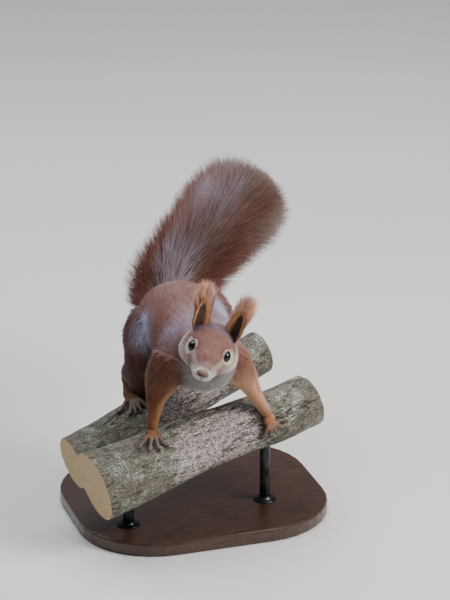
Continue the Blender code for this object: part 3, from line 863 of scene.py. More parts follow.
def node_group(
    name: str,
    inputs: dict[str, str],
    outputs: dict[str, str],
    build: Callable[[Tree, dict], dict],
) -> NodeTree:
    """A shader node group, built once.

    Args:
        name: Its name.
        inputs: The kind of each input: Float, Color or Vector.
        outputs: The same for the outputs.
        build: Fills the tree, from the input sockets by name to the output sockets by name.

    Returns:
        The group.
    """
    group = bpy.data.node_groups.get(name)
    if group:
        return group
    group = bpy.data.node_groups.new(name, "ShaderNodeTree")
    for direction, sockets in (("INPUT", inputs), ("OUTPUT", outputs)):
        for title, kind in sockets.items():
            group.interface.new_socket(title, in_out=direction, socket_type=f"NodeSocket{kind}")
    source = group.nodes.new("NodeGroupInput")
    sink = group.nodes.new("NodeGroupOutput")
    Tree(group).fill(sink, build(Tree(group), {title: source.outputs[title] for title in inputs}))
    return group


def tone_group() -> NodeTree:
    """Uneven tone: fine and coarse noise lightens and darkens a colour, and roughens it."""

    def build(tree: Tree, given: dict) -> dict:
        """Fills the group."""
        place = tree.place()
        fine = tree.noise(place, given["Fineness"], 4.0)
        both = tree.maths("ADD", fine, tree.noise(place, 60.0, 2.0))
        lift = tree.maths("MULTIPLY", tree.maths("SUBTRACT", both, 1.0), given["Amount"])
        tinted = tree.lit(given["Colour"], tree.maths("ADD", lift, 1.0))
        return {"Colour": tinted, "Roughness": tree.spread(fine, (0.3, 0.7), (0.5, 0.68))}

    inputs = {"Colour": "Color", "Fineness": "Float", "Amount": "Float"}
    return node_group("uneven_tone", inputs, {"Colour": "Color", "Roughness": "Float"}, build)


def grain_group() -> NodeTree:
    """Long grain: noise drawn out along Y of a vector, as streaks from 0 to 1."""

    def build(tree: Tree, given: dict) -> dict:
        """Fills the group."""
        drawn = tree.stretched(given["Vector"], (1.0, 0.12, 1.0))
        broad = tree.maths("MULTIPLY", tree.noise(drawn, 0.35, 2.0), 0.6)
        both = tree.maths("ADD", tree.noise(drawn, given["Fineness"], 5.0), broad)
        return {"Streaks": tree.spread(both, (0.45, 1.15))}

    return node_group("long_grain", {"Vector": "Vector", "Fineness": "Float"}, {"Streaks": "Float"}, build)


@dataclass(frozen=True)
class Finish:
    """What every finish shares: its name, its plain tint, and how it becomes a material."""

    name: str
    plain: ClassVar[str] = "7a5548"

    def paint(self, tree: Tree) -> dict:
        """What inputs of the shader hold: a socket to link or a plain value."""
        raise NotImplementedError

    def material(self) -> Material:
        """The finish as a material."""
        material = bpy.data.materials.new(self.name)
        material.use_nodes = True
        material.diffuse_color = rgba(self.plain)
        tree = Tree(material.node_tree)
        tree.fill(material.node_tree.nodes["Principled BSDF"], self.paint(tree))
        return material


@dataclass(frozen=True)
class Hair(Finish):
    """Solid tufts of hair: their markings, toned, with the soft sheen of guard hairs."""

    sheen: float = 0.14
    amount: float = 0.35
    fineness: float = 900.0

    def paint(self, tree: Tree) -> dict:
        """Toned markings under a faint cool sheen."""
        return {
            **tree.toned(tree.stored("markings", "Color"), self.fineness, self.amount),
            "Specular IOR Level": 0.35,
            "Sheen Weight": self.sheen,
            "Sheen Roughness": 0.4,
            "Sheen Tint": (0.80, 0.80, 1.0, 1.0),
        }


@dataclass(frozen=True)
class Hide(Finish):
    """Skin under the coat: short flat fur as streaks along the lie, or bare creased skin."""

    name: str = "hide"
    fur_depth: float = 0.0005
    crease_depth: float = 0.0002

    def paint(self, tree: Tree) -> dict:
        """Streaked fur where the hide is covered, pebbled creases where it is bare."""
        bare = tree.stored("bare")
        streaks = tree.streaks(tree.stored("lie", "Vector"), 3.2)
        creases = tree.cells(tree.place(), 1500.0, feature="DISTANCE_TO_EDGE")
        tone = tree.toned(tree.stored("markings", "Color"), 700.0, 0.3)["Base Color"]
        shade = tree.spread(streaks, (0.2, 0.8), (0.72, 1.15))
        shade = tree.maths("MULTIPLY", shade, tree.maths("SUBTRACT", 1.0, bare))
        fur = tree.bump(0.6, self.fur_depth, streaks)
        skin = tree.bump(0.5, self.crease_depth, tree.spread(creases, (0.0, 0.12)))
        return {
            "Base Color": tree.lit(tone, tree.maths("ADD", shade, bare)),
            "Roughness": tree.spread(bare, (0.0, 1.0), (0.75, 0.48)),
            "Normal": tree.add("Mix", {0: bare, 4: fur, 5: skin}, data_type="VECTOR").outputs[1],
            "Specular IOR Level": 0.3,
        }


@dataclass(frozen=True)
class Eyeball(Finish):
    """A wet dark eye: near-black pupil, brown iris streaked from the middle, clear coat."""

    name: str = "wet_eye"
    plain: ClassVar[str] = "0a0705"

    def paint(self, tree: Tree) -> dict:
        """Pupil, iris and rim by the way from the pole, which the UV map holds with the turn."""
        where = tree.add("UVMap", uv_map="polar").outputs[0]
        way = tree.add("SeparateXYZ", {0: where}).outputs[1]
        fibre = tree.spread(tree.noise(tree.stretched(where, (60.0, 2.0, 1.0)), 1.0), (0.35, 0.7))
        iris = tree.blend(fibre, "0d0604", "1f100a")
        dark = tree.blend(tree.spread(way, (0.20, 0.24)), "040303", iris)
        return {
            "Base Color": tree.blend(tree.spread(way, (0.34, 0.40)), dark, "0a0605"),
            "Roughness": 0.04,
            "Specular IOR Level": 0.25,
            "Coat Weight": 0.35,
            "Coat Roughness": 0.02,
        }


@dataclass(frozen=True)
class Leather(Finish):
    """Bare pebbled skin of the nose."""

    name: str = "nose_leather"
    plain: ClassVar[str] = "84605a"

    def paint(self, tree: Tree) -> dict:
        """Blotched pink-brown pebbles, near black in the nostrils."""
        place = tree.place()
        pebbles = tree.cells(place, 1900.0)
        tint = tree.blend(tree.spread(tree.noise(place, 350.0), (0.35, 0.65)), self.plain, "614441")
        return {
            "Base Color": tree.blend(tree.stored("hollow"), tint, "150c0b"),
            "Roughness": tree.spread(pebbles, (0.1, 0.6), (0.32, 0.55)),
            "Normal": tree.bump(0.45, 0.0002, pebbles, invert=True),
            "Coat Weight": 0.15,
        }


@dataclass(frozen=True)
class Horn(Finish):
    """Horn of the claws: dark at the root, paler and more worn to the point."""

    name: str = "claw_horn"
    plain: ClassVar[str] = "2b2320"

    def paint(self, tree: Tree) -> dict:
        """Streaked horn by its wear."""
        streak = tree.noise(tree.place(), 1800.0)
        tint = tree.blend(tree.stored("worn"), "231b18", "75665c")
        return {
            "Base Color": tree.lit(tint, tree.spread(streak, (0.3, 0.7), (0.7, 1.25))),
            "Roughness": tree.spread(streak, (0.3, 0.7), (0.28, 0.45)),
        }


@dataclass(frozen=True)
class Bark(Finish):
    """Old bark: grey-beige plates, dark cracks, grey-green lichen and a worn bare patch."""

    name: str = "old_bark"
    plain: ClassVar[str] = "8d877c"

    def paint(self, tree: Tree) -> dict:
        """Plates, then lichen, flecks, the worn patch, cracks and a darker green-grey towards the end at
        negative X over them.
        """
        place, grain = tree.place(), tree.stored("grain", "Vector")
        streaks = tree.streaks(grain, 1.3)
        ridges = tree.spread(tree.noise(tree.stretched(grain, (1.0, 0.4, 1.0)), 1.3, 8.0), (0.44, 0.58))
        both = tree.maths("MULTIPLY", tree.maths("ADD", streaks, ridges), 0.5)
        crust = tree.noise(place, 60.0, 6.0)
        tint = self.lichen(tree, place, crust, tree.blend(both, "2a2720", "978f82"))
        fleck = tree.maths("MULTIPLY", tree.spread(tree.cells(place, 330.0), (0.24, 0.10)), ridges)
        tint = tree.blend(fleck, tint, "2f2c25")
        pale = tree.blend(tree.spread(both, (0.25, 0.75)), "6c625c", "c8bebb")
        tint = tree.blend(tree.stored("worn"), tint, pale)
        tint = tree.blend(tree.maths("MULTIPLY", tree.stored("crack"), 0.85), tint, "2c2922")
        darker_towards_low_x = tree.spread(tree.add("SeparateXYZ", {0: place}).outputs[0], (-0.105, -0.02), (0.8, 0.0))
        height = tree.maths("ADD", streaks, tree.maths("MULTIPLY", crust, 1.2))
        height = tree.maths("SUBTRACT", height, tree.maths("MULTIPLY", fleck, 0.5))
        return {
            "Base Color": tree.blend(tree.maths("MULTIPLY", darker_towards_low_x, crust), tint, "3c4034"),
            "Roughness": tree.spread(streaks, (0.0, 1.0), (0.92, 0.72)),
            "Normal": tree.bump(0.8, 0.0009, height),
            "Specular IOR Level": 0.25,
        }

    def lichen(self, tree: Tree, place: Socket, crust: Socket, tint: Socket) -> Socket:
        """Speckled lichen, grey-green to white, over a colour where the crust is thick."""
        speckle = tree.spread(tree.noise(place, 850.0, 5.0), (0.48, 0.57))
        speckle = tree.maths("MULTIPLY", speckle, tree.spread(crust, (0.50, 0.56)))
        grown = tree.blend(tree.spread(tree.noise(place, 150.0), (0.4, 0.6)), "767d69", "c3c5bd")
        return tree.blend(tree.maths("MULTIPLY", speckle, 0.9), tint, grown)


@dataclass(frozen=True)
class SawnEnd(Finish):
    """Sawn end grain: growth rings about the pith, and fine saw lines."""

    pith: tuple[float, float, float]
    turn: tuple[float, float, float]
    plain: ClassVar[str] = "c2a77e"

    def paint(self, tree: Tree) -> dict:
        """Rings and saw lines in the cut's own frame."""
        mapping = {"Vector": tree.place(), "Location": self.pith, "Rotation": self.turn}
        local = tree.add("Mapping", mapping, vector_type="TEXTURE").outputs[0]
        wave = {"Vector": local, "Scale": 150.0, "Distortion": 1.6, "Detail": 3.0, "Detail Scale": 1.5}
        rings = tree.add("TexWave", wave, wave_type="RINGS", rings_direction="Z").outputs[1]
        lines = tree.noise(tree.stretched(local, (1.0, 0.06, 1.0)), 2200.0, 2.0)
        tint = tree.blend(tree.spread(rings, (0.2, 0.9)), "b89c74", "c9b18a")
        height = tree.maths("ADD", tree.maths("MULTIPLY", rings, 0.5), lines)
        return {
            "Base Color": tree.blend(tree.spread(lines, (0.35, 0.65), (0.0, 0.35)), tint, "8a6f4c"),
            "Roughness": tree.spread(lines, (0.3, 0.7), (0.7, 0.9)),
            "Normal": tree.bump(0.5, 0.0003, height),
        }


@dataclass(frozen=True)
class StandWood(Finish):
    """Dark stained wood under satin lacquer."""

    name: str = "stained_wood"
    plain: ClassVar[str] = "38261b"

    def paint(self, tree: Tree) -> dict:
        """Streaks along the boards, with dark pores."""
        boards = tree.stretched(tree.place(), (900.0, 900.0, 900.0), Rotation=(0, 0, 1.57))
        streaks = tree.streaks(boards, 0.9)
        pores = tree.spread(tree.noise(boards, 2.4), (0.62, 0.7), (0.0, 0.7))
        return {
            "Base Color": tree.blend(pores, tree.blend(streaks, "23160f", "54382a"), "160d09"),
            "Roughness": tree.spread(streaks, (0, 1), (0.42, 0.30)),
            "Normal": tree.bump(0.25, 0.0002, streaks),
            "Coat Weight": 0.3,
            "Coat Roughness": 0.25,
        }


@dataclass(frozen=True)
class StandSteel(Finish):
    """Blackened steel with fine turning marks."""

    name: str = "blackened_steel"
    plain: ClassVar[str] = "3a3b3d"

    def paint(self, tree: Tree) -> dict:
        """Smudged black, turned round the rods."""
        place = tree.place()
        lines = tree.noise(tree.stretched(place, (0.1, 0.1, 1.0)), 4000.0, 2.0)
        smudge = tree.noise(place, 90.0, 3.0)
        return {
            "Base Color": tree.blend(tree.spread(smudge, (0.35, 0.65)), "242527", "4c4d50"),
            "Roughness": tree.spread(tree.maths("ADD", lines, smudge), (0.7, 1.3), (0.28, 0.48)),
            "Normal": tree.bump(0.2, 0.0001, lines),
            "Metallic": 1.0,
        }


@dataclass(frozen=True)
class PaleFloor(Finish):
    """The plain floor that the stand is on."""

    name: str = "pale_floor"
    plain: ClassVar[str] = "d9d6d0"

    def paint(self, tree: Tree) -> dict:
        """A pale, faintly uneven grey."""
        tint = tree.blend(tree.noise(tree.place(), 3.0, 2.0), "dad7d2", "e2e0dc")
        return {"Base Color": tint, "Roughness": 0.85}


# --- pieces ---------------------------------------------------------------------------------


def add_piece(
    name: str,
    mesh: Mesh,
    materials: Sequence[Material],
    slot: str,
    replaced: Sequence[str] = (),
) -> Item:
    """Shows a finished mesh as a piece of the model.

    Args:
        name: The piece's name.
        mesh: Its mesh, in the model's frame.
        materials: Its materials, in slot order.
        slot: The record's material slot; not used.
        replaced: The solids that it stands for.

    Returns:
        The object.
    """
    item = placed(name, mesh)
    for material in materials:
        mesh.materials.append(material)
    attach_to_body(item, "root")
    if replaced:
        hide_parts(*replaced)
    mesh.calc_loop_triangles()
    log.info("%s: %d triangles", name, len(mesh.loop_triangles))
    return item


def attach(mesh: Mesh, name: str, values: Array) -> None:
    """Stores a number, a vector or a colour for each corner point of a mesh."""
    values = np.asarray(values, np.float32)
    kind, key = "FLOAT_VECTOR", "vector"
    if values.ndim == 1:
        kind, key = "FLOAT", "value"
    elif name == "markings":
        kind, key = "FLOAT_COLOR", "color"
        values = np.c_[values, np.ones(len(values), np.float32)]
    mesh.attributes.new(name, kind, "POINT").data.foreach_set(key, values.ravel())


@dataclass(frozen=True)
class Markings:
    """The coat's colours and where each lies; some of them hold painted sheen and some painted shade."""

    back: str = "7d4f42"
    # Grey of the back's top: partly the coat's own grey, partly painted sheen.
    back_grey: str = "8f7c7c"
    # Flank: the rusty flank colour, darkened partly as painted shade.
    flank: str = "6b402c"
    # Belly and throat: the white underparts greyed, the belly partly as painted shade, the throat as painted
    # shade under the head.
    belly: str = "c4bfb9"
    throat: str = "8e8a87"
    # Forelegs: one orange in a lit copy on the left and a shaded copy on the right, painted light and painted
    # shade.
    forelegs: dict[int, str] = field(default_factory=lambda: {LEFT: "d69d82", RIGHT: "7a4525"})
    wrist_fade: dict[int, tuple[float, float]] = field(
        default_factory=lambda: {LEFT: (16.0, 3.0), RIGHT: (30.0, 10.0)}
    )
    inner_leg: str = "d2a477"
    # Thigh: darker brown lower down, partly its own colour, partly painted shade.
    thigh: str = "5c3a26"
    wrist: str = "9a6644"
    # Foot: dark brown, partly its own colour, partly painted shade on the shanks.
    foot: str = "583824"
    toe: str = "7a675d"
    forehead: str = "875c50"
    crown: str = "7c6a72"
    cheek: str = "94776a"
    pale_cheek: str = "dbcdc4"
    bridge: str = "a69088"
    stripe: tuple[tuple[float, ...], ...] = (
        (12.5, -6.5, 1.5),
        (10.8, -11.0, -0.3),
        (8.5, -16.0, -2.5),
        (6.5, -19.5, -3.8),
    )
    muzzle: str = "e3d9d2"
    eye_ring: str = "f3e6da"
    lip: str = "4a3029"
    # Painted sheen: a pale lilac-blue laid into the coat in soft bells at fixed places on the shoulders,
    # thighs, nape and upper flank, standing in for the sky's glint on the guard hairs.
    sheen: str = "c6cbe9"
    shining: tuple[tuple[tuple[float, ...], float, float], ...] = (
        ((-18.0, 20.0, 74.0), 9.0, 0.4),
        ((28.0, 20.0, 74.0), 9.0, 0.5),
        ((-24.0, 62.0, 62.0), 12.0, 1.0),
        ((34.0, 64.0, 65.0), 11.0, 0.5),
        ((5.0, 10.0, 86.0), 16.0, 0.5),
        ((31.0, 42.0, 78.0), 13.0, 0.7),
    )
    ear: str = "d39468"
    # Ear hollow: dark brown, partly the skin's colour, partly painted shade in the cup.
    ear_hollow: str = "503b32"
    ear_tuft: str = "eeb090"

    def hide(self, reading: Reading, points: Array, normals: Array) -> Array:
        """The colour at each point of the body and head."""
        trunk = self.trunk(points, normals)
        under = 0.5 * ramp(0.55, 0.9, -normals[:, 2])
        owners = [
            (trunk, reading.of(Region.TRUNK, Region.NECK, Region.TAIL)),
            (self.head(points), reading.of(Region.HEAD)),
            # The thigh darkens towards its lower part: partly its own colour, partly painted shade.
            (mixed(trunk, self.thigh, ramp(52.0, 36.0, points[:, 2])), reading.of(Region.THIGH)),
            (mixed(self.foot, self.belly, under), reading.of(Region.SHANK)),
        ]
        for side in SIDE_NAMES:
            leg = self.foreleg_marks(points, normals, side)
            owners.append((leg, reading.of(Region.FORELEG, sides=[side])))
        total = sum(shades * share[:, None] for shades, share in owners)
        uneven = 1.0 + 0.10 * lumps(points, 7.0, 3) + 0.08 * lumps(points, 2.2, 4)
        return total * uneven[:, None]

    def trunk(self, points: Array, normals: Array) -> Array:
        """Grey-brown back, rusty flanks and a white chest and belly, with painted sheen on top and painted
        shade below.
        """
        up = normals[:, 2]
        # Back colour on faces turned up, the darker flank colour on the sides and below: partly the rusty
        # flanks' own colour, partly painted shade.
        marks = mixed(self.flank, self.back, ramp(-0.1, 0.65, up))
        # Greyer on faces turned up: partly the grey of the back's coat, partly painted sheen of the sky on
        # the top.
        grey_and_painted_sheen = ramp(0.55, 0.95, up) * (0.6 + 0.4 * lumps(points, 9.0, 5))
        marks = mixed(marks, self.back_grey, np.clip(grey_and_painted_sheen, 0, 1) * 0.3)
        x, y, z = points.T
        # Painted sheen: each bell lightens the coat towards the pale lilac-blue.
        for centre, radius, strength in self.shining:
            gap = np.linalg.norm(points - centre, axis=1) / radius
            painted_sheen = np.exp(-(gap**2)) * (0.85 + 0.35 * lumps(points, 5.0, 6))
            marks = mixed(marks, self.sheen, np.clip(painted_sheen, 0, 1) * strength)
        under = ramp(0.55, 0.9, -up) * ramp(108.0, 94.0, y)
        # Painted shade: the chest under the head takes the grey throat colour.
        chest = ramp(16.0, 6.0, y) * ramp(20.0, 11.0, np.abs(x - 5.0)) * ramp(72.0, 60.0, z)
        return painted(marks, (self.belly, under), (self.throat, chest))

    def foreleg_marks(self, points: Array, normals: Array, side: int) -> Array:
        """Orange foreleg, painted lighter on the left and darker on the right, cream along its inner edge,
        browner at the wrist, greyer at the shoulder.
        """
        inner = ramp(0.2, 0.85, -0.85 * side * normals[:, 0] - 0.45 * normals[:, 1])
        pale = 0.75 * inner * ramp(56.0, 38.0, points[:, 2])
        wrist = 0.8 * ramp(*self.wrist_fade[side], points[:, 2])
        shoulder = 0.85 * ramp(30.0, 52.0, points[:, 2])
        layers = (self.inner_leg, pale), (self.wrist, wrist), (self.trunk(points, normals), shoulder)
        return painted(self.forelegs[side], *layers)

    def head(self, points: Array) -> Array:
        """Rusty forehead, greyer crown, pale cheeks, cream eye rings, white muzzle and a chin greyed as
        painted shade.
        """
        own = head_frame().inside(points)
        x, y, z = np.abs(own[:, 0]), own[:, 1], own[:, 2]
        wobble = 1.2 * lumps(points, 4.0, 8)
        low = ramp(1.0, -5.0, z + wobble) * ramp(7.0, 12.0, x + 0.35 * (y + 10.0))
        jowl = ramp(-1.0, -7.0, z + wobble - 0.55 * np.maximum(y + 2.0, 0.0)) * ramp(-14.0, -4.0, y)
        jowl = jowl * (0.5 + 0.35 * ramp(-9.0, -1.0, y)) * ramp(17.0, 10.0, y)
        # Painted shade: the underside of the chin and jaw takes the grey throat colour.
        under = ramp(-10.0, -13.5, z + 0.8 * wobble - 0.12 * np.maximum(x - 8.0, 0.0))
        stripe = ramp(3.2, 1.0, chain_gap(own, self.stripe) + 0.5 * wobble)
        muzzle = np.maximum(
            ramp(-19.5, -22.0, y + 0.5 * wobble), ramp(-13.0, -18.0, y + wobble) * ramp(-3.5, -7.0, z)
        )
        eyes = Eyes()
        past = np.minimum(*[eyes.past_slit(own, side) for side in SIDE_NAMES])
        ring = ramp(14.0, 7.0, past + 3.0 * lumps(points, 2.0, 9)) * ramp(7.2, 6.0, eyes.gap_to_eye(own))
        return painted(
            self.forehead,
            (self.crown, ramp(2.0, 16.0, y)),
            (self.cheek, low),
            (self.pale_cheek, jowl),
            (self.throat, under),
            (self.bridge, 0.6 * ramp(-14.0, -18.5, y + 0.5 * wobble)),
            (self.pale_cheek, 0.4 * stripe),
            (self.muzzle, muzzle),
            (self.eye_ring, 0.9 * ring),
            (self.lip, 0.85 * Mouth().line(own)),
        )


def chain_gap(own: Array, corners: Sequence[Sequence[float]]) -> Array:
    """How far points, mirrored to the left side, are from a chain of straight segments."""
    at = own * (0.0, 1.0, 1.0) + np.abs(own) * (1.0, 0.0, 0.0)
    nearest = np.full(len(at), 1e9)
    for first, second in zip(corners, corners[1:]):
        start, step = np.array(first), np.array(second) - np.array(first)
        t = np.clip((at - start) @ step / (step @ step), 0.0, 1.0)
        nearest = np.minimum(nearest, np.linalg.norm(at - start - t[:, None] * step, axis=1))
    return nearest


@dataclass(frozen=True)
class Mouth:
    """The closed mouth: a line under the nose, parting down and back along each side."""

    corners: tuple[tuple[float, float, float], ...] = (
        (0.0, -25.9, -7.0),
        (0.0, -25.2, -9.6),
        (2.8, -23.9, -10.9),
        (5.4, -21.0, -11.4),
        (7.4, -17.4, -12.0),
    )
    half_width: float = 0.55

    def line(self, own: Array) -> Array:
        """One on the line, fading to 0 past its half width."""
        return ramp(2.0 * self.half_width, 0.4 * self.half_width, chain_gap(own, self.corners))


@dataclass
class Eyes:
    """The eyeballs and their lids, in the head's frame."""

    lid_axis: tuple[float, float, float] = (0.88, -0.42, 0.38)
    wide_opening: float = 56.0
    high_opening: float = 54.0
    lid_profile: tuple[tuple[float, float], ...] = (
        (-3.0, 4.6),
        (-1.5, 4.95),
        (1.5, 5.2),
        (6.0, 5.35),
        (13.0, 5.4),
        (22.0, 5.25),
        (34.0, 4.9),
        (46.0, 4.3),
    )

    def axes(self, side: int) -> Array:
        """Columns: towards the back of the head along the slit, upwards, and out of the socket."""
        out = unit(on_side(self.lid_axis, side))
        back = unit(np.cross(np.array((0.0, 0.0, 1.0)), out) * side)
        up = np.cross(out, back) * side
        return np.stack([back, up, out], axis=1)

    def eyeball(self, side: int) -> Shape:
        """A ball of the eye's radius whose cornea bulges: radius + bulge * exp(-(polar/36 deg)^2)."""
        polar, turn = ball_angles(40, 56)
        radius = EYE_RADIUS + 0.35 * np.exp(-((polar / math.radians(36.0)) ** 2)) + 0 * turn
        return woven(self.out(swept(polar, turn) * radius[..., None], side))

    def lids(self, side: int) -> Shape:
        """A soft ring round the eye: at each turn, rings of polar angle and radius past the slit."""
        turn = np.linspace(0.0, 2 * math.pi, 72, endpoint=False)
        slit = self.slit(turn)
        grid = [swept(slit + np.radians(past), turn) * radius for past, radius in self.lid_profile]
        return woven(self.out(np.stack([*grid, grid[-1] * 0.93, grid[0] * 0.93]), side), hoop=True)

    def out(self, local: Array, side: int) -> Array:
        """An eye's own points as working ones."""
        return head_frame().out(local @ self.axes(side).T + on_side(EYE_CENTRE, side))

    def angles(self, own: Array, side: int) -> tuple[Array, Array]:
        """The polar angle and the turn about an eye of points of the head's frame."""
        local = unit((own - on_side(EYE_CENTRE, side)) @ self.axes(side))
        return np.arccos(np.clip(local[:, 2], -1.0, 1.0)), np.arctan2(local[:, 1], local[:, 0])

    def slit(self, turn: Array) -> Array:
        """Half angle of the opening: wide along the slit, less across it, a little almond-shaped."""
        wide, high = math.radians(self.wide_opening), math.radians(self.high_opening)
        almond = 1.0 / np.sqrt((np.cos(turn) / wide) ** 2 + (np.sin(turn) / high) ** 2)
        return almond * (1.0 + 0.05 * np.cos(turn) ** 8)

    def past_slit(self, own: Array, side: int) -> Array:
        """How many degrees round the eye points of the head's frame lie past the opening's edge."""
        polar, turn = self.angles(own, side)
        return np.degrees(polar - self.slit(turn))

    def gap_to_eye(self, own: Array) -> Array:
        """How far each point of the head's frame is from the nearer eye's centre."""
        return np.minimum(*[np.linalg.norm(own - on_side(EYE_CENTRE, side), axis=1) for side in SIDE_NAMES])

    def build(self) -> None:
        """Adds both eyeballs."""
        material = Eyeball().material()
        for side, word in SIDE_NAMES.items():
            shape = self.eyeball(side)
            mesh = shape.mesh(f"eyeball_{word}")
            polar, turn = self.angles(head_frame().inside(shape.points), side)
            write_chart(mesh, "polar", np.stack([turn / (2 * math.pi) + 0.5, polar / math.pi], axis=1))
            add_piece(f"eyeball_{word}", mesh, [material], "eye", [f"eye_{word}"])


@dataclass
class NosePad:
    """The bare nose: a ball about the nose's axis with two comma nostrils and a groove."""

    centre: tuple[float, float, float] = (0.0, -23.7, -4.6)
    radii: tuple[float, float, float] = (4.5, 2.7, 2.9)

    def build(self) -> None:
        """Adds the nose pad: each point is pushed in by the dents' depth along its radius."""
        turn = np.stack([(1.0, 0, 0), (0, 0, 1.0), (0, -1.0, 0)], axis=1)
        rings, sides = 46, 64
        local = swept(*ball_angles(rings, sides)).reshape(-1, 3)
        x, z, out = local.T
        nostril = np.hypot((np.abs(x) - 0.50) / 0.24, (z + 0.10 + 0.25 * (np.abs(x) - 0.5)) / 0.17)
        slot = np.hypot((np.abs(x) - 0.74) / 0.22, (z + 0.02) / 0.10)
        dent = np.maximum(ramp(1.5, 0.5, nostril), 0.7 * ramp(1.5, 0.5, slot)) * ramp(0.0, 0.3, out)
        groove = ramp(0.13, 0.03, np.abs(x)) * ramp(0.2, -0.2, z) * ramp(0.0, 0.3, out)
        brow = 0.05 * ramp(0.5, 0.0, np.abs(nostril - 1.6)) * ramp(0.0, 0.4, out)
        local = local * (1.0 - 0.42 * dent - 0.16 * groove + brow)[:, None]
        local[:, 1] *= 1.0 + 0.12 * ramp(0.0, 0.8, np.abs(x))
        points = (local * (self.radii[0], self.radii[2], self.radii[1])) @ turn.T
        grid = head_frame().out(points + self.centre).reshape(rings, sides, 3)
        mesh = woven(grid).mesh("nose_pad")
        attach(mesh, "hollow", np.concatenate([np.maximum(dent, groove * 0.6), np.zeros(2)]))
        add_piece("nose_pad", mesh, [Leather().material()], "bare_skin")


@dataclass
class Ears:
    """The ears: cupped leaf-shaped shells with their hair."""

    depth: float = 3.4
    thickness: float = 1.0

    def axes(self, side: int) -> Array:
        """Columns: across the ear, behind it and up it, in the head's frame."""
        base, tip = on_side(EAR_BASE, side), on_side(EAR_TIP, side)
        up = unit(tip - base)
        across = turned(2, -EAR_OPENING_TURN * side) @ np.array((1.0, 0.0, 0.0))
        across = unit(across - up * (across @ up))
        return np.stack([across, np.cross(up, across), up], axis=1)

    def sheet(self, across: Array, up: Array, layer: Array) -> Array:
        """Points of the shell in the ear's own frame.

        Half width is 7 mm times a leaf outline; the sheet bends back as a parabola across it, deeper
        low down, and layer runs from 0 at the hollow side to 1 at the back.
        """
        outline = np.sqrt(np.clip(1.0 - np.maximum(up - 0.35, 0.0) ** 2 / 0.4356, 0.0, 1.0))
        half = EAR_HALF_WIDTH * outline * (0.78 + 0.22 * ramp(0.0, 0.3, up))
        cup = self.depth * (1.15 - 0.75 * up)
        bend = cup * (1.0 - across**2)
        thick = self.thickness * (0.25 + 0.75 * (1.0 - across**2)) * (1.0 - 0.5 * up)
        behind = bend - 1.4 + thick * layer + 1.6 * up**2
        return np.stack([half * across, behind, EAR_HEIGHT * up - 0.8 + 0 * across], axis=-1)

    def shell(self, side: int) -> Shape:
        """The closed shell: rings up the ear, each out along the hollow side and back behind."""
        up = np.linspace(0.0, 1.0, 40)[:, None]
        run = np.linspace(0.0, 2 * math.pi, 48, endpoint=False)[None]
        across = np.cos(run) * 0.999
        layer = 0.5 - 0.5 * np.sign(np.sin(run)) * np.abs(np.sin(run)) ** 0.5
        grid = self.sheet(across + 0 * up, up + 0 * across, layer + 0 * up)
        return woven(self.out(grid, side))

    def out(self, local: Array, side: int) -> Array:
        """Own points of one ear as working points."""
        return head_frame().out(local @ self.axes(side).T + on_side(EAR_BASE, side))

    def local(self, points: Array, side: int) -> Array:
        """Working points in one ear's own frame."""
        return (head_frame().inside(points) - on_side(EAR_BASE, side)) @ self.axes(side)

    def marks(self, points: Array, side: int) -> Array:
        """Orange behind, at the rim and in the inner part of the cup, dark brown in the hollow, partly as
        painted shade.
        """
        marks = Markings()
        local = self.local(points, side)
        up = np.clip(local[:, 2] / EAR_HEIGHT, 0.0, 1.0)
        middle = self.sheet(np.clip(local[:, 0] / EAR_HALF_WIDTH, -1, 1), up, np.full(len(up), 0.5))
        half = np.maximum(EAR_HALF_WIDTH * (1.05 - 0.6 * up), 1.0)
        hollow = ramp(0.0, -0.3, local[:, 1] - middle[:, 1]) * ramp(0.95, 0.65, np.abs(local[:, 0]) / half)
        hollow *= ramp(-0.8, -0.35, side * local[:, 0] / half) * ramp(1.0, 0.7, up)
        return mixed(marks.ear, marks.ear_hollow, hollow)


@dataclass
class Limb:
    """One limb of the branch, round, and what rests on it."""

    stations: Sequence[Station]
    rows: Array = field(init=False)

    def __post_init__(self) -> None:
        """Works out the closely spaced middle line."""
        self.rows = smooth_rows(self.stations, 60)

    def tube(self) -> Tube:
        """The limb as a tube."""
        stations = [(*row[:3], row[3], row[3], row[3]) for row in self.stations]
        return Tube(Region.TRUNK, stations, wide=(0, 1, 0), rings=120, sides=88)

    def above(self, point: Array, height: float) -> tuple[Array, Array]:
        """The place at that height over the bark nearest to point, and the way out there."""
        point = np.array(point, float)
        nearest = self.rows[np.argmin(np.linalg.norm(self.rows[:, :3] - point, axis=1))]
        out = unit(point - nearest[:3])
        return nearest[:3] + out * (nearest[3] + height), out


@dataclass(frozen=True)
class ToeSize:
    """A kind of toe, in millimetres."""

    length: float
    reach: float
    radius: float
    arch: float


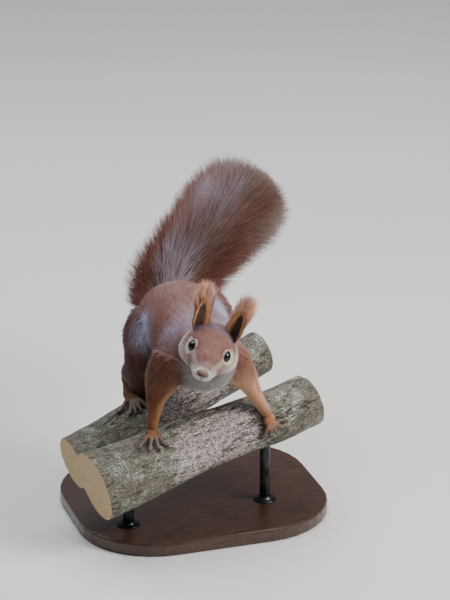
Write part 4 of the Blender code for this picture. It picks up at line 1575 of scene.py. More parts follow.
@dataclass
class Paw:
    """One paw resting on a limb of the branch: palm, toes and claws."""

    limb: Limb
    palm: tuple[float, float, float]
    heading: tuple[float, float, float]
    spread: Sequence[float]
    toe: ToeSize
    palm_radii: tuple[float, float, float]
    sole: Sequence[Station] = ()
    claw_length: float = 4.6
    claw_radius: float = 0.85

    def __post_init__(self) -> None:
        """Lays the palm on the bark."""
        self.place, self.up = self.limb.above(self.palm, self.palm_radii[2] * 0.85)

    def toe_line(self, degrees: float) -> list[Array]:
        """Root, knuckle, joint, tip, and the claw's middle and point of one toe."""
        way = spun(unit(self.heading), self.up, degrees)
        toe = self.toe
        reach = toe.reach + toe.length
        return [
            self.place + way * toe.reach * 0.3,
            self.limb.above(self.place + way * reach * 0.42, toe.radius + toe.arch)[0],
            self.limb.above(self.place + way * reach * 0.74, toe.radius + 0.9)[0],
            self.limb.above(self.place + way * reach, toe.radius * 0.9)[0],
            self.limb.above(self.place + way * (reach + self.claw_length * 0.5), toe.radius + 0.6)[0],
            self.limb.above(self.place + way * (reach + self.claw_length), 0.3)[0],
        ]

    def flesh(self) -> list[Shape]:
        """Palm, sole and toes; a toe is thickest at its knuckle and its end pad."""
        shapes = [ball(self.place, facing(self.up), self.palm_radii, 18, 28)]
        for degrees in self.spread:
            line = self.toe_line(degrees)[:4]
            line.insert(3, (line[2] + line[3]) / 2)
            sizes = np.array((1.12, 1.05, 0.86, 0.80, 0.86)) * self.toe.radius
            stations = [(*place, size, size, size) for place, size in zip(line, sizes)]
            shapes.append(Tube(Region.SHANK, stations, rings=22, sides=16).shape())
        if self.sole:
            shapes.append(Tube(Region.SHANK, self.sole, rings=30, sides=24).shape())
            heel = self.sole[0]
            shapes.append(ball(np.array(heel[:3]), np.eye(3), heel[3:], 12, 16))
        return shapes

    def claws(self) -> list[Shape]:
        """A hooked cone on each toe, thinner sideways than upwards."""
        shapes = []
        for degrees in self.spread:
            line = self.toe_line(degrees)
            start = line[3] + (line[3] - line[2]) * 0.05
            high = (line[3] + line[4]) / 2 + self.up * 0.5
            radius = self.claw_radius
            stations = [
                (*start, radius, radius * 1.35, radius * 1.35),
                (*high, radius * 0.9, radius * 1.25, radius * 1.25),
                (*line[4], radius * 0.62, radius * 0.9, radius * 0.9),
                (*line[5], 0.14, 0.16, 0.16),
            ]
            shapes.append(Tube(Region.SHANK, stations, rings=14, sides=12).shape())
        return shapes


def all_paws() -> dict[str, Paw]:
    """The four paws by name."""
    fore = ToeSize(15.0, 2.0, 1.4, 2.2)
    hind = ToeSize(14.5, 3.0, 1.6, 2.4)
    front, rear = Limb(FRONT_LIMB), Limb(BACK_LIMB)
    paws = {}
    for side, word in SIDE_NAMES.items():
        paws[f"forepaw_{word}"] = Paw(front, *FOREPAWS[side], fore, (4.5, 5.2, 3.3))
        paws[f"hindfoot_{word}"] = Paw(rear, *HINDPAWS[side], hind, (6.0, 5.0, 3.4), HIND_SOLES[side])
    return paws


class Rows:
    """Whole arrays with a row for each of many things."""

    def chosen(self, pick: Array | slice) -> Self:
        """Some of the rows."""
        return type(self)(*[getattr(self, part.name)[pick] for part in fields(self)])

    @classmethod
    def stacked(cls, sets: Sequence[Self]) -> Self:
        """Several sets of rows as one."""
        return cls(*[np.concatenate([getattr(each, part.name) for each in sets]) for part in fields(cls)])


@dataclass
class Roots(Rows):
    """Where tufts grow: place, normal, lie of the coat, place on the chart and colour."""

    points: Array
    normals: Array
    lie: Array
    chart: Array
    marks: Array


@dataclass
class Strands(Rows):
    """Strands of hair, in working millimetres.

    Paths and shades are (strands, stops, 3), and half widths (strands, stops - 1). Normals are the
    skin's under each strand, and chart is its root's place on the chart.
    """

    paths: Array
    widths: Array
    normals: Array
    shades: Array
    chart: Array


def scattered(
    shape: Shape, normals: Array, count: int, weight: Callable[[Array], Array], rng: Chance
) -> tuple[Array, Array]:
    """Random places on a shape's quads, as likely as area times weight.

    Args:
        shape: The surface.
        normals: The normal at each of its corners.
        count: How many places.
        weight: How much growth is wanted, from points.
        rng: The source of chance.

    Returns:
        Places and normals, bilinear in each quad.
    """
    corners = shape.points[shape.quads]
    area = np.linalg.norm(np.cross(corners[:, 2] - corners[:, 0], corners[:, 3] - corners[:, 1]), axis=1)
    chance = area * weight(corners.mean(axis=1))
    pick = rng.choice(len(area), count, p=chance / chance.sum())
    u, v = rng.random((2, count, 1))
    share = np.stack([(1 - u) * (1 - v), u * (1 - v), u * v, (1 - u) * v], axis=1)
    quads = shape.quads[pick]
    points = np.sum(shape.points[quads] * share, axis=1)
    return points, unit(np.sum(normals[quads] * share, axis=1))


@dataclass(frozen=True)
class Growth:
    """How tufts grow: size in millimetres, lift off the skin in degrees, and how they gather."""

    width: float
    lift: float = 36.0
    gather: float = 0.35
    cell: float = 3.0
    wander: float = 0.2
    dark: float = 0.55
    bright: float = 1.12
    speckle: float = 0.18


def tuft_paths(roots: Roots, lengths: Array, growth: Growth, rng: Chance, stops: Sequence[float]) -> Array:
    """The middle lines of tufts.

    A tuft rises at its lift and bends down along the lie: ahead by s - 0.1 s^2, up by s - 0.42 s^2
    of its length. The lie wanders with slow noise, and tips lean towards the middle of their lock.

    Args:
        roots: Where they grow.
        lengths: How long each is.
        growth: How they grow.
        rng: The source of chance.
        stops: The shares of the length to give points at.

    Returns:
        Points as (tufts, stops, 3).
    """
    points, normals = roots.points, roots.normals
    across = np.cross(normals, roots.lie)
    sway = growth.wander * lumps(points, 6.0, 31) + growth.wander * 0.6 * lumps(points, 2.4, 32)
    sway = sway + 0.10 * rng.standard_normal(len(points))
    lie = unit(flattened(roots.lie + across * sway[:, None], normals))
    lift = np.radians(growth.lift * (1.0 + 0.22 * rng.standard_normal(len(points))))
    cells = (points + 0.9 * lumps(points, 5.0, 33)[:, None]) / growth.cell
    towards = flattened(cell_middles(points, cells) - points, normals)
    ahead, rise = lie * np.cos(lift)[:, None], normals * np.sin(lift)[:, None]
    paths = curved(points - 0.3 * normals, lengths, ahead + rise, -0.1 * ahead - 0.42 * rise, stops)
    return paths + growth.gather * towards[:, None] * np.array(stops)[None, :, None] ** 1.5


def strand_mesh(name: str, strands: Strands, flatness: float, softness: float) -> Mesh:
    """Closed three-sided strands as one mesh.

    Each ring is the middle line + width * (broad * cos a + flatness * thick * sin a) at a of 90, 210
    and 330 degrees; broad is square to the strand and the skin's normal. The last stop is a point.

    Args:
        name: The mesh's name.
        strands: The strands.
        flatness: Thickness over width.
        softness: How much of the skin's normal the shading takes.

    Returns:
        The mesh, with its markings, its shading normals and the OFBake map.
    """
    paths, normals = strands.paths, strands.normals
    count, stops = paths.shape[:2]
    rings = stops - 1
    step = unit(paths[:, 1:] - paths[:, :-1])
    broad = unit(np.cross(normals[:, None], step))
    thick = np.cross(step, broad)
    turns = np.radians((90.0, 210.0, 330.0))
    spoke = broad[:, :, None] * np.cos(turns)[:, None] + flatness * thick[:, :, None] * np.sin(turns)[:, None]
    loops = paths[:, :rings, None] + spoke * strands.widths[:, :, None, None]
    points = np.concatenate([loops.reshape(count, rings * 3, 3), paths[:, -1:]], axis=1)
    pattern = strand_faces(rings)
    sample = points[0][pattern] - points[0].mean(axis=0)
    if np.sum(sample[:, 0] * np.cross(sample[:, 1] - sample[:, 0], sample[:, 2] - sample[:, 0])) < 0:
        pattern = pattern[:, ::-1]
    size = 3 * rings + 1
    triangles = (pattern[None] + (np.arange(count) * size)[:, None, None]).reshape(-1, 3)
    mesh = Shape(points.reshape(-1, 3), triangles=triangles).mesh(name)
    level = np.append(np.repeat(np.arange(rings), 3), rings)
    attach(mesh, "markings", np.clip(strands.shades[:, level].reshape(-1, 3), 0.0, 1.0))
    outward = np.concatenate([spoke.reshape(count, rings * 3, 3), step[:, -1:]], axis=1)
    shading = unit(softness * normals[:, None] + (1.0 - softness) * unit(outward))
    attach(mesh, "custom_normal", shading.reshape(-1, 3))
    across = np.append(np.tile(np.cos(turns), rings), 0.0) * PATCH / 2
    patch = np.stack([across, (level / rings - 0.5) * PATCH], axis=1)
    write_chart(mesh, "OFBake", ((strands.chart * 0.99 + 0.005)[:, None] + patch).reshape(-1, 2))
    return mesh


def strand_faces(rings: int) -> Array:
    """Triangles of one strand: its sides from ring to ring, its point and its foot."""
    faces = [(2, 1, 0)]
    for ring, i in itertools.product(range(rings - 1), range(3)):
        a, b = 3 * ring + i, 3 * ring + (i + 1) % 3
        faces += [(a, b, b + 3), (a, b + 3, a + 3)]
    top = 3 * (rings - 1)
    return np.array([*faces, *[(top + i, top + (i + 1) % 3, 3 * rings) for i in range(3)]])


def curved(roots: Array, reach: Array, way: Array, bend: Array, stops: Sequence[float]) -> Array:
    """Points along hairs, as (hairs, stops, 3): root + reach * (way * s + bend * s^2) at each stop s."""
    s = np.array(stops)[None, :, None]
    way, bend = (np.broadcast_to(each, roots.shape)[:, None] for each in (way, bend))
    return roots[:, None] + reach[:, None, None] * (way * s + bend * s**2)


def add_strands(
    name: str,
    strands: Strands,
    material: Material,
    slot: str,
    flatness: float = 0.4,
    softness: float = 0.8,
) -> None:
    """Adds strands, sorted along their chart, in pieces under the limit of triangles for one.

    Args:
        name: The pieces' common name.
        strands: The strands; each piece's rows are stretched over the height of its OFBake map.
        material: Their material.
        slot: The record's slot.
        flatness: Thickness over width.
        softness: How much of the skin's normal the shading takes.
    """
    count = len(strands.paths)
    pieces = math.ceil(count / (MOST_TRIANGLES // (6 * strands.paths.shape[1] - 8)))
    edges = np.linspace(0, count, pieces + 1).astype(int)
    for index, rows in enumerate(map(slice, edges, edges[1:])):
        title = f"{name}_{index + 1}" if pieces > 1 else name
        some = strands.chosen(rows)
        some.chart = some.chart.copy()
        low, high = some.chart[:, 1].min(), some.chart[:, 1].max()
        some.chart[:, 1] = (some.chart[:, 1] - low) / (high - low)
        add_piece(title, strand_mesh(title, some, flatness, softness), [material], slot)


def tuft_shades(marks: Array, growth: Growth, stops: Sequence[float], rng: Chance) -> Array:
    """Colours down a tuft: dark at the root, bright near the tip, some tufts ticked with dark."""
    s = np.array(stops)[None, :, None]
    own = 1.0 + 0.13 * rng.standard_normal((len(marks), 1, 1))
    ticked = rng.random((len(marks), 1, 1)) < growth.speckle
    tip = np.where(ticked, 0.55, growth.bright)
    value = np.where(s < 0.5, growth.dark + (1.0 - growth.dark) * 2 * s, 1.0 + (tip - 1.0) * (2 * s - 1.0))
    return marks[:, None] * np.clip(own, 0.6, 1.4) * value


@dataclass
class Skin:
    """The one skin: body, head, paws, ears and lids, drawn in by the coat's depth."""

    body: Body
    eyes: Eyes
    ears: Ears
    paws: dict[str, Paw]
    voxel: float = 1.2
    paw_voxel: float = 0.42
    # Painted shade: the skin's colours are darkened by these factors under the coat, on the ear shells and on
    # the lids.
    flesh_shade: float = 0.72
    ear_shade: float = 0.85
    lid_shade: float = 0.78

    def grow(self) -> None:
        """Makes the surfaces that the skin is joined from, and keeps them for the coat."""
        tubes = [tube for tube in self.body.tubes if tube.region is not Region.HEAD]
        flesh, _ = melted([tube.shape() for tube in tubes], self.voxel, 5)
        self.flesh, self.flesh_normals = filled(flesh, 60, 4.0)
        head = next(tube for tube in self.body.tubes if tube.region is Region.HEAD)
        shape = head.shape()
        normals = corner_normals(shape)
        own = head_frame().inside(shape.points)
        shape.points = shape.points + normals * self.relief(own)[:, None]
        self.head, self.head_normals = shape, corner_normals(shape)
        self.paw_shapes = {}
        for name, paw in self.paws.items():
            self.paw_shapes[name] = melted(paw.flesh(), self.paw_voxel, 3)

    def relief(self, own: Array) -> Array:
        """How far the head's features stand out of its plain form, in millimetres.

        Sockets sink by a bell round each eye, the mouth line by a groove, and the brow, the cheek
        and the whisker pads stand out by bells.
        """
        x, y, z = np.abs(own[:, 0]), own[:, 1], own[:, 2]

        def bell(centre: Sequence[float], radius: float) -> Array:
            """A smooth bump of height one about a centre."""
            gap = np.sqrt((x - centre[0]) ** 2 + (y - centre[1]) ** 2 + (z - centre[2]) ** 2)
            return np.exp(-((gap / radius) ** 2))

        socket = -1.3 * bell((15.5, -2.4, 2.2), 4.2)
        brow = 0.8 * bell((11.5, -3.0, 7.0), 3.6)
        pads = 0.7 * bell((5.2, -20.5, -8.6), 3.2)
        cheeks = 0.6 * bell((17.0, 3.0, -11.0), 6.0)
        bridge = 0.35 * bell((0.0, -14.0, 1.0), 4.0)
        return socket + brow + pads + cheeks + bridge - 0.8 * Mouth().line(own)

    def build(self) -> Item:
        """Joins the surfaces, paints them and adds the piece."""
        marks = Markings()
        islands: list[tuple[Shape, Array, Array]] = []
        for shape, normals in ((self.flesh, self.flesh_normals), (self.head, self.head_normals)):
            reading = self.body.read(shape.points)
            shades = marks.hide(reading, shape.points, normals)
            islands.append((shape, shades * self.flesh_shade, np.zeros(len(shape.points))))
        for name, (shape, normals) in self.paw_shapes.items():
            shades, bare = self.paw_marks(self.paws[name], shape.points)
            islands.append((shape, shades, bare))
        for side in SIDE_NAMES:
            shell = self.ears.shell(side)
            shades = self.ears.marks(shell.points, side)
            islands.append((shell, shades * self.ear_shade, np.full(len(shell.points), 0.6)))
            lids = self.eyes.lids(side)
            past = self.eyes.past_slit(head_frame().inside(lids.points), side)
            shades = mixed(self.lid_shade * marks.head(lids.points), "1c1310", ramp(7.5, 4.0, past))
            islands.append((lids, shades, np.ones(len(past))))
        shape = joined(island[0] for island in islands)
        mesh = shape.mesh("skin")
        attach(mesh, "markings", np.clip(np.concatenate([island[1] for island in islands]), 0, 1))
        attach(mesh, "bare", np.concatenate([island[2] for island in islands]))
        attach(mesh, "lie", self.grain(shape.points))
        return add_piece("skin", mesh, [Hide().material()], "coat_body", FLESH_NODES)

    def grain(self, points: Array) -> Array:
        """Millimetres round and along the nearest tube, for streaks that follow the lie."""
        reading = self.body.read(points)
        owner = reading.owner()
        chart = reading.chart()
        lengths = np.array([tube.length for tube in self.body.tubes])[owner]
        rounds = np.array([2 * math.pi * tube.radii.mean() for tube in self.body.tubes])[owner]
        return np.stack([chart[:, 0] * rounds, chart[:, 1] * lengths, owner * 7.0], axis=1)

    def paw_marks(self, paw: Paw, points: Array) -> tuple[Array, Array]:
        """Colours of a paw, and how bare it is: furred behind and on top, bare along the toes."""
        marks = Markings()
        ahead = (points - paw.place) @ unit(paw.heading)
        reach = paw.toe.reach + paw.toe.length
        bare = ramp(reach * 0.4, reach * 0.75, ahead)
        if paw.sole:
            wrist = colour(marks.foot)
        else:
            side = LEFT if paw.place[0] > 0 else RIGHT
            wrist = marks.foreleg_marks(points, np.broadcast_to(paw.up, points.shape), side)
        shades = mixed(wrist, marks.toe, ramp(reach * 0.15, reach * 0.52, ahead))
        uneven = 1.0 + 0.12 * lumps(points, 1.6, 12) + 0.1 * lumps(points, 4.0, 13)
        return shades * uneven[:, None], bare


@dataclass
class Coat:
    """The tufts over the skin, region by region."""

    skin: Skin
    trunk_count: int = 46000
    leg_count: int = 21000
    head_count: int = 26000
    paw_count: int = 1500
    stops: tuple[float, ...] = (0.0, 0.45, 1.0)

    def __post_init__(self) -> None:
        """Sets the source of chance."""
        self.rng = np.random.default_rng(SEED)
        self.material = Hair("coat_hair").material()

    def rooted(self, points: Array, normals: Array, margin: float) -> tuple[Roots, Reading]:
        """Roots for places on the body, less those buried in another tube."""
        reading = self.skin.body.read(points)
        keep = reading.outside.min(axis=0) > -margin
        points, normals = points[keep], normals[keep]
        reading = self.skin.body.read(points)
        lie = unit(flattened(reading.lie, normals))
        marks = Markings().hide(reading, points, normals)
        return Roots(points, normals, lie, reading.chart(), marks), reading

    def add(
        self, name: str, slot: str, roots: Roots, lengths: Array, growth: Growth, widths: Array | float = 1.0
    ) -> None:
        """Grows tufts and adds them in pieces.

        Args:
            name: The pieces' common name.
            slot: The record's slot.
            roots: Where they grow.
            lengths: How long each is.
            growth: How they grow.
            widths: How much wider or narrower each is than the growth's width.
        """
        order = np.argsort(roots.chart[:, 1], kind="stable")
        roots, lengths = roots.chosen(order), lengths[order]
        widths = np.broadcast_to(widths, len(order))[order, None] * growth.width * (0.75, 1.0)
        paths = tuft_paths(roots, lengths, growth, self.rng, self.stops)
        shades = tuft_shades(roots.marks, growth, self.stops, self.rng)
        strands = Strands(paths, widths, roots.normals, shades, roots.chart)
        add_strands(name, strands, self.material, slot)

    def build(self) -> None:
        """Adds the coat of the body, the head and the paws."""
        self.build_body()
        self.build_head()
        self.build_paws()

    def sown(
        self, shape: Shape, normals: Array, count: int, weight: Callable[[Array], Array], margin: float
    ) -> tuple[Roots, Reading]:
        """Roots at random places on a part of the skin, and what they read there."""
        return self.rooted(*scattered(shape, normals, count, weight, self.rng), margin)

    def build_body(self) -> None:
        """Trunk and neck, then the legs: longest on the back, shortest at the wrists."""
        skin, rng = self.skin, self.rng

        def on_trunk(points: Array) -> Array:
            """How much a place belongs to the trunk or neck."""
            reading = skin.body.read(points)
            share = reading.of(Region.TRUNK, Region.NECK, Region.TAIL)
            return share * (1.0 - 0.5 * ramp(0.6, 1.0, reading.of(Region.TAIL)))

        def on_legs(points: Array) -> Array:
            """How much a place belongs to a leg."""
            return skin.body.read(points).of(Region.FORELEG, Region.THIGH, Region.SHANK)

        roots, reading = self.sown(skin.flesh, skin.flesh_normals, self.trunk_count, on_trunk, 1.2)
        lengths = 8.6 - 2.0 * ramp(0.2, 0.9, -roots.normals[:, 2]) - 1.6 * reading.of(Region.NECK)
        lengths *= rng.uniform(0.8, 1.15, len(lengths))
        self.add("coat_trunk", "coat_body", roots, lengths, Growth(width=0.27))
        roots, reading = self.sown(skin.flesh, skin.flesh_normals, self.leg_count, on_legs, 1.2)
        station = roots.chart[:, 1]
        fore, thigh = reading.of(Region.FORELEG), reading.of(Region.THIGH)
        lengths = fore * (7.0 - 5.2 * ramp(0.15, 0.95, station))
        lengths += thigh * (8.0 - 4.5 * station) + reading.of(Region.SHANK) * (5.2 - 2.2 * station)
        lengths = np.clip(lengths, 1.5, 8.5) * rng.uniform(0.8, 1.15, len(lengths))
        ragged = ramp(0.78, 0.92, station) * (fore + reading.of(Region.SHANK))
        lengths *= 1.0 + ragged * rng.uniform(-0.4, 1.3, len(lengths))
        roots.chart = self.columns(roots.chart, reading)
        growth = Growth(width=0.24, lift=30.0, cell=2.4, dark=0.68, speckle=0.12)
        self.add("coat_legs", "coat_legs", roots, lengths, growth, np.clip(lengths / 6.0, 0.6, 1.1))

    def columns(self, chart: Array, reading: Reading) -> Array:
        """A chart with a column for each tube, side by side."""
        owner = reading.owner()
        count = len(self.skin.body.tubes)
        return np.stack([(chart[:, 0] * 0.96 + owner) / count, chart[:, 1]], axis=1)

    def build_head(self) -> None:
        """The head: tiny tufts on the face, longer to the cheeks and nape."""
        skin, rng = self.skin, self.rng
        frame = head_frame()

        def on_head(points: Array) -> Array:
            """Closer growth towards the nose."""
            own = frame.inside(points)
            return 1.0 + 1.2 * ramp(4.0, -16.0, own[:, 1]) - 0.5 * ramp(14.0, 24.0, own[:, 1])

        roots, _ = self.sown(skin.head, skin.head_normals, self.head_count, on_head, 0.9)
        own = frame.inside(roots.points)
        nose = np.linalg.norm(own - NosePad().centre, axis=1)
        keep = (skin.eyes.gap_to_eye(own) > 5.9) & (nose > 3.5) & (Mouth().line(own) < 0.35)
        roots, own = roots.chosen(keep), own[keep]
        away = own * (1.0, 0.25, 1.0) + (0.0, 14.0, 7.0)
        spread = unit(away) @ frame.turn.T
        lie = 0.55 * roots.lie + 0.45 * spread
        gap = skin.eyes.gap_to_eye(own)
        x, y, _ = own.T
        mirrored = np.stack([np.sign(x), 1 + 0 * x, 1 + 0 * x], axis=1)
        around = unit(own - mirrored * EYE_CENTRE) @ frame.turn.T
        lie = mixed(lie, around, 0.75 * ramp(10.0, 6.0, gap))
        roots.lie = unit(flattened(lie, roots.normals))
        lengths = 1.3 + 2.3 * ramp(-24.0, -4.0, y) + 2.2 * ramp(2.0, 24.0, y)
        lengths += 1.2 * ramp(-4.0, -12.0, own[:, 2]) * ramp(-16.0, 0.0, y)
        lengths -= 1.0 * ramp(9.0, 6.0, gap)
        lengths = np.maximum(lengths, 1.1) * rng.uniform(0.8, 1.2, len(lengths))
        growth = Growth(width=0.15, lift=26.0, gather=0.3, cell=1.6, wander=0.16)
        self.add("coat_head", "coat_head", roots, lengths, growth, np.clip(lengths / 3.0, 0.55, 1.3))

    def build_paws(self) -> None:
        """Short hair over the wrists, the backs of the paws and the roots of the toes."""
        skin, rng = self.skin, self.rng
        every, sizes = [], []
        for index, (name, (shape, normals)) in enumerate(skin.paw_shapes.items()):
            paw = skin.paws[name]
            reach = paw.toe.reach + paw.toe.length

            def on_paw(points: Array) -> Array:
                """Thick on the back of the paw, none on the toes' ends."""
                bare = skin.paw_marks(paw, points)[1]
                return 1.02 - bare + 0.12 * (np.linalg.norm(points - paw.place, axis=1) < reach)

            points, normals = scattered(shape, normals, self.paw_count, on_paw, rng)
            outside = skin.body.read(points).outside.min(axis=0)
            clear = self.over_bark(paw, points)
            keep = (outside > -0.8) & (clear > 0.9) & (normals @ paw.up > -0.35)
            points, normals = points[keep], normals[keep]
            shades, bare = skin.paw_marks(paw, points)
            way = (points - paw.place) - paw.up * ((points - paw.place) @ paw.up)[:, None]
            lie = unit(flattened(unit(unit(paw.heading) * 1.2 + way * 0.12), normals))
            u = np.arctan2(way @ np.cross(paw.up, unit(paw.heading)), way @ unit(paw.heading))
            far = np.clip(np.linalg.norm(points - paw.place, axis=1) / 45.0, 0.0, 1.0)
            chart = np.stack([(u / (2 * math.pi) + 0.5) * 0.24 + 0.25 * index, far], axis=1)
            every.append(Roots(points, normals, lie, chart, shades))
            sizes.append((2.4 - 1.4 * bare) * rng.uniform(0.8, 1.2, len(points)))
        growth = Growth(width=0.15, lift=18.0, gather=0.25, cell=1.4, wander=0.15)
        self.add("coat_paws", "coat_legs", Roots.stacked(every), np.concatenate(sizes), growth)

    def over_bark(self, paw: Paw, points: Array) -> Array:
        """How far points are over a paw's limb."""
        rows = paw.limb.rows
        gaps = np.linalg.norm(points[:, None] - rows[None, :, :3], axis=2)
        nearest = np.argmin(gaps, axis=1)
        return gaps[np.arange(len(points)), nearest] - rows[nearest, 3]


@dataclass
class EarCoat:
    """Hair of the ears: short behind and at the rim, and a long pencil from the tip."""

    skin: Skin
    short_count: int = 2200
    pencil_count: int = 2300
    stops: tuple[float, ...] = (0.0, 0.35, 0.7, 1.0)

    def build(self, material: Material) -> None:
        """Adds the hair of both ears as one piece each."""
        rng = np.random.default_rng(SEED + 1)
        for side, word in SIDE_NAMES.items():
            strands = Strands.stacked([self.short(side, rng), self.pencil(side, rng)])
            mesh = strand_mesh(f"coat_ear_{word}", strands, 0.45, 0.7)
            add_piece(f"coat_ear_{word}", mesh, [material], "coat_head")

    def short(self, side: int, rng: Chance) -> Strands:
        """Short hair: on the back all over, in the hollow sparse and dark, at the rim fringed."""
        ears, count = self.skin.ears, self.short_count
        across = rng.uniform(-1.0, 1.0, count)
        rim = rng.random(count) < 0.4
        inner = rim & (rng.random(count) < 0.6)
        towards = np.where(inner, -side, np.sign(across))
        across = np.where(rim, towards * rng.uniform(0.84, 1.0, count), across)
        up = rng.uniform(0.0, 1.0, count)
        layer = np.where(inner | (rng.random(count) < 0.3), 0.0, 1.0)
        step = 0.02
        local = ears.sheet(across, up, layer)
        higher, lower = (ears.sheet(across, at, layer) for at in (np.minimum(up + step, 1.0), up - step))
        right, left = (ears.sheet(at, up, layer) for at in (np.minimum(across + step, 1.0), across - step))
        tangent_up, tangent_over = unit(higher - lower), unit(right - left)
        face = unit(np.cross(tangent_over, tangent_up))
        out = face * np.where(face[:, 1:2] > 0, 1.0, -1.0) * (2 * layer - 1)[:, None]
        spread = np.where(inner, -0.5, 0.35) * across * rim
        lean = tangent_up + tangent_over * spread[:, None] + out * 0.32
        lean += 0.12 * rng.standard_normal(local.shape)
        lengths = np.where(rim, 4.0, np.where(layer > 0.5, 3.6, 1.8)) * rng.uniform(0.75, 1.2, count)
        lengths *= 1.0 + 0.5 * up
        bend = 0.2 * (tangent_up - 0.1 * out)
        paths = ears.out(curved(local, lengths, unit(lean), bend, self.stops), side)
        normals = self.turned_out(out, side)
        shades = ears.marks(ears.out(local, side), side)
        pale = mixed(shades, "dd9f74", np.where(rim, 0.5, 0.0))
        value = np.interp(self.stops, (0, 0.5, 1), (0.6, 1.0, 1.15))[None, :, None]
        tone = 1 + 0.12 * rng.standard_normal((count, 1, 1))
        widths = np.full((count, 1), 0.13) * (0.8, 1.0, 0.6)
        chart = np.stack([0.25 + 0.24 * across + 0.5 * (layer < 0.5), up * 0.6], axis=1)
        return Strands(paths, widths, normals, pale[:, None] * value * tone, chart)

    def pencil(self, side: int, rng: Chance) -> Strands:
        """The long tuft: strands from the upper rim that rise, spread and droop to fine points."""
        ears, count = self.skin.ears, self.pencil_count
        up = 1.0 - 0.55 * rng.random(count) ** 1.4
        across = rng.uniform(-0.95, 0.95, count)
        front = rng.random(count) < 0.35 * ramp(0.55, 0.75, up)
        local = ears.sheet(across, up, np.where(front, 0.1, 0.8))
        reach = math.dist(EAR_TUFT_TIP, EAR_TIP) * (0.42 + 0.62 * rng.random(count) ** 1.5) + 5.0 * (1.0 - up)
        spread = np.stack([across * 0.20, 0.06 + 0.14 * rng.random(count), np.ones(count)], axis=1)
        spread += 0.05 * rng.standard_normal((count, 3))
        droop = np.array((0.0, 0.06, -0.03)) + across[:, None] * (0.06, 0.0, 0.0)
        paths = ears.out(curved(local, reach, unit(spread), droop, self.stops), side)
        facing_out = np.where(front[:, None], (0.0, -1.0, 0.3), (0.0, 1.0, 0.3))
        facing_out = facing_out + across[:, None] * (0.8, 0.0, 0.0)
        normals = self.turned_out(facing_out, side)
        marks = Markings()
        shades = mixed(marks.ear, marks.ear_tuft, ramp(0.0, 0.8, np.array(self.stops)))
        shades = shades * (1 + 0.14 * rng.standard_normal((count, 1, 1)))
        widths = np.full((count, 1), 0.135) * (1.0, 0.9, 0.65)
        chart = np.stack([0.5 + 0.48 * across, 0.65 + 0.3 * rng.random(count)], axis=1)
        return Strands(paths, widths, normals, shades, chart)

    def turned_out(self, directions: Array, side: int) -> Array:
        """Directions of the ear's own frame as working ones."""
        return unit(directions @ self.skin.ears.axes(side).T @ head_frame().turn.T)


@dataclass
class LidHair:
    """Fine pale hair on the lids, swept away from the eye."""

    skin: Skin
    count: int = 2000
    stops: tuple[float, ...] = (0.0, 0.5, 1.0)

    def build(self, material: Material) -> None:
        """Adds the hair round both eyes as one piece."""
        rng = np.random.default_rng(SEED + 2)
        every = []
        for index, side in enumerate(SIDE_NAMES):
            eyes = self.skin.eyes
            turn = rng.uniform(0, 2 * math.pi, self.count)
            past = np.radians(rng.uniform(5.5, 34.0, self.count))
            polar = eyes.slit(turn) + past
            radius = np.interp(np.degrees(past), *zip(*eyes.lid_profile))
            out = swept(polar, turn)
            root = out * (radius - 0.1)[:, None]
            away = unit(swept(polar + 0.05, turn) - out) + (0.5, 0.0, 0.0)
            lie = unit(away + 0.15 * rng.standard_normal(root.shape))
            lie = unit(flattened(lie, out))
            length = rng.uniform(0.8, 1.5, self.count)
            rise = 0.22 * out
            paths = eyes.out(curved(root, length, lie + rise, -rise, self.stops), side)
            normals = unit(out @ eyes.axes(side).T @ head_frame().turn.T)
            tint = Markings().head(paths[:, 0])
            tone = 1 + 0.08 * rng.standard_normal((self.count, 1, 1))
            shades = tint[:, None] * np.array((0.75, 1.0, 1.08))[None, :, None] * tone
            widths = np.full((self.count, 1), 0.085) * (0.8, 1.0)
            chart = np.stack([turn / (4 * math.pi) + 0.5 * index, np.degrees(past) / 40.0], axis=1)
            every.append(Strands(paths, widths, normals, shades, chart))
        mesh = strand_mesh("coat_lids", Strands.stacked(every), 0.4, 0.8)
        add_piece("coat_lids", mesh, [material], "coat_head")


@dataclass
class Whiskers:
    """Long stiff hairs of the muzzle, brows and chin."""

    per_side: int = 11
    stops: int = 9

    def build(self) -> None:
        """Adds all whiskers as one piece: each leaves its pad outwards and curves back and down."""
        rng = np.random.default_rng(SEED + 3)
        frame = head_frame()
        stops = np.linspace(0.0, 1.0, self.stops)
        count = self.per_side
        rank, one = np.linspace(0.0, 1.0, count), np.ones(count)
        paths = []
        for side in SIDE_NAMES:
            forward = -21.5 + 5.0 * rank + rng.uniform(-0.8, 0.8, count)
            root = np.stack([side * (5.6 + 2.4 * rank), forward, -7.2 - 2.6 * rng.random(count)], axis=1)
            way = np.stack([side * one, -0.35 + 0.8 * rank, rng.uniform(-0.45, 0.35, count)], axis=1)
            length = rng.uniform(20.0, 36.0, count) * (0.75 + 0.25 * rank)
            paths.append(frame.out(curved(root, length, unit(way), (0.0, 0.38, -0.10), stops)))
        count *= 2
        normals = np.tile(frame.turn @ np.array((0.0, -0.5, 0.85)), (count, 1))
        widths = np.full((count, 1), 0.10) * np.linspace(1.0, 0.25, self.stops - 1)
        fade = np.interp(stops, (0, 0.3, 1), (0.25, 0.7, 1.3))
        shades = np.tile(colour("8f8278") * fade[:, None], (count, 1, 1))
        chart = np.stack([np.linspace(0.02, 0.98, count), np.full(count, 0.5)], axis=1)
        strands = Strands(np.concatenate(paths), widths, normals, shades, chart)
        mesh = strand_mesh("whiskers", strands, 1.0, 0.3)
        add_piece("whiskers", mesh, [Hair("whisker_hair", 0.0, 0.1).material()], "coat_head")


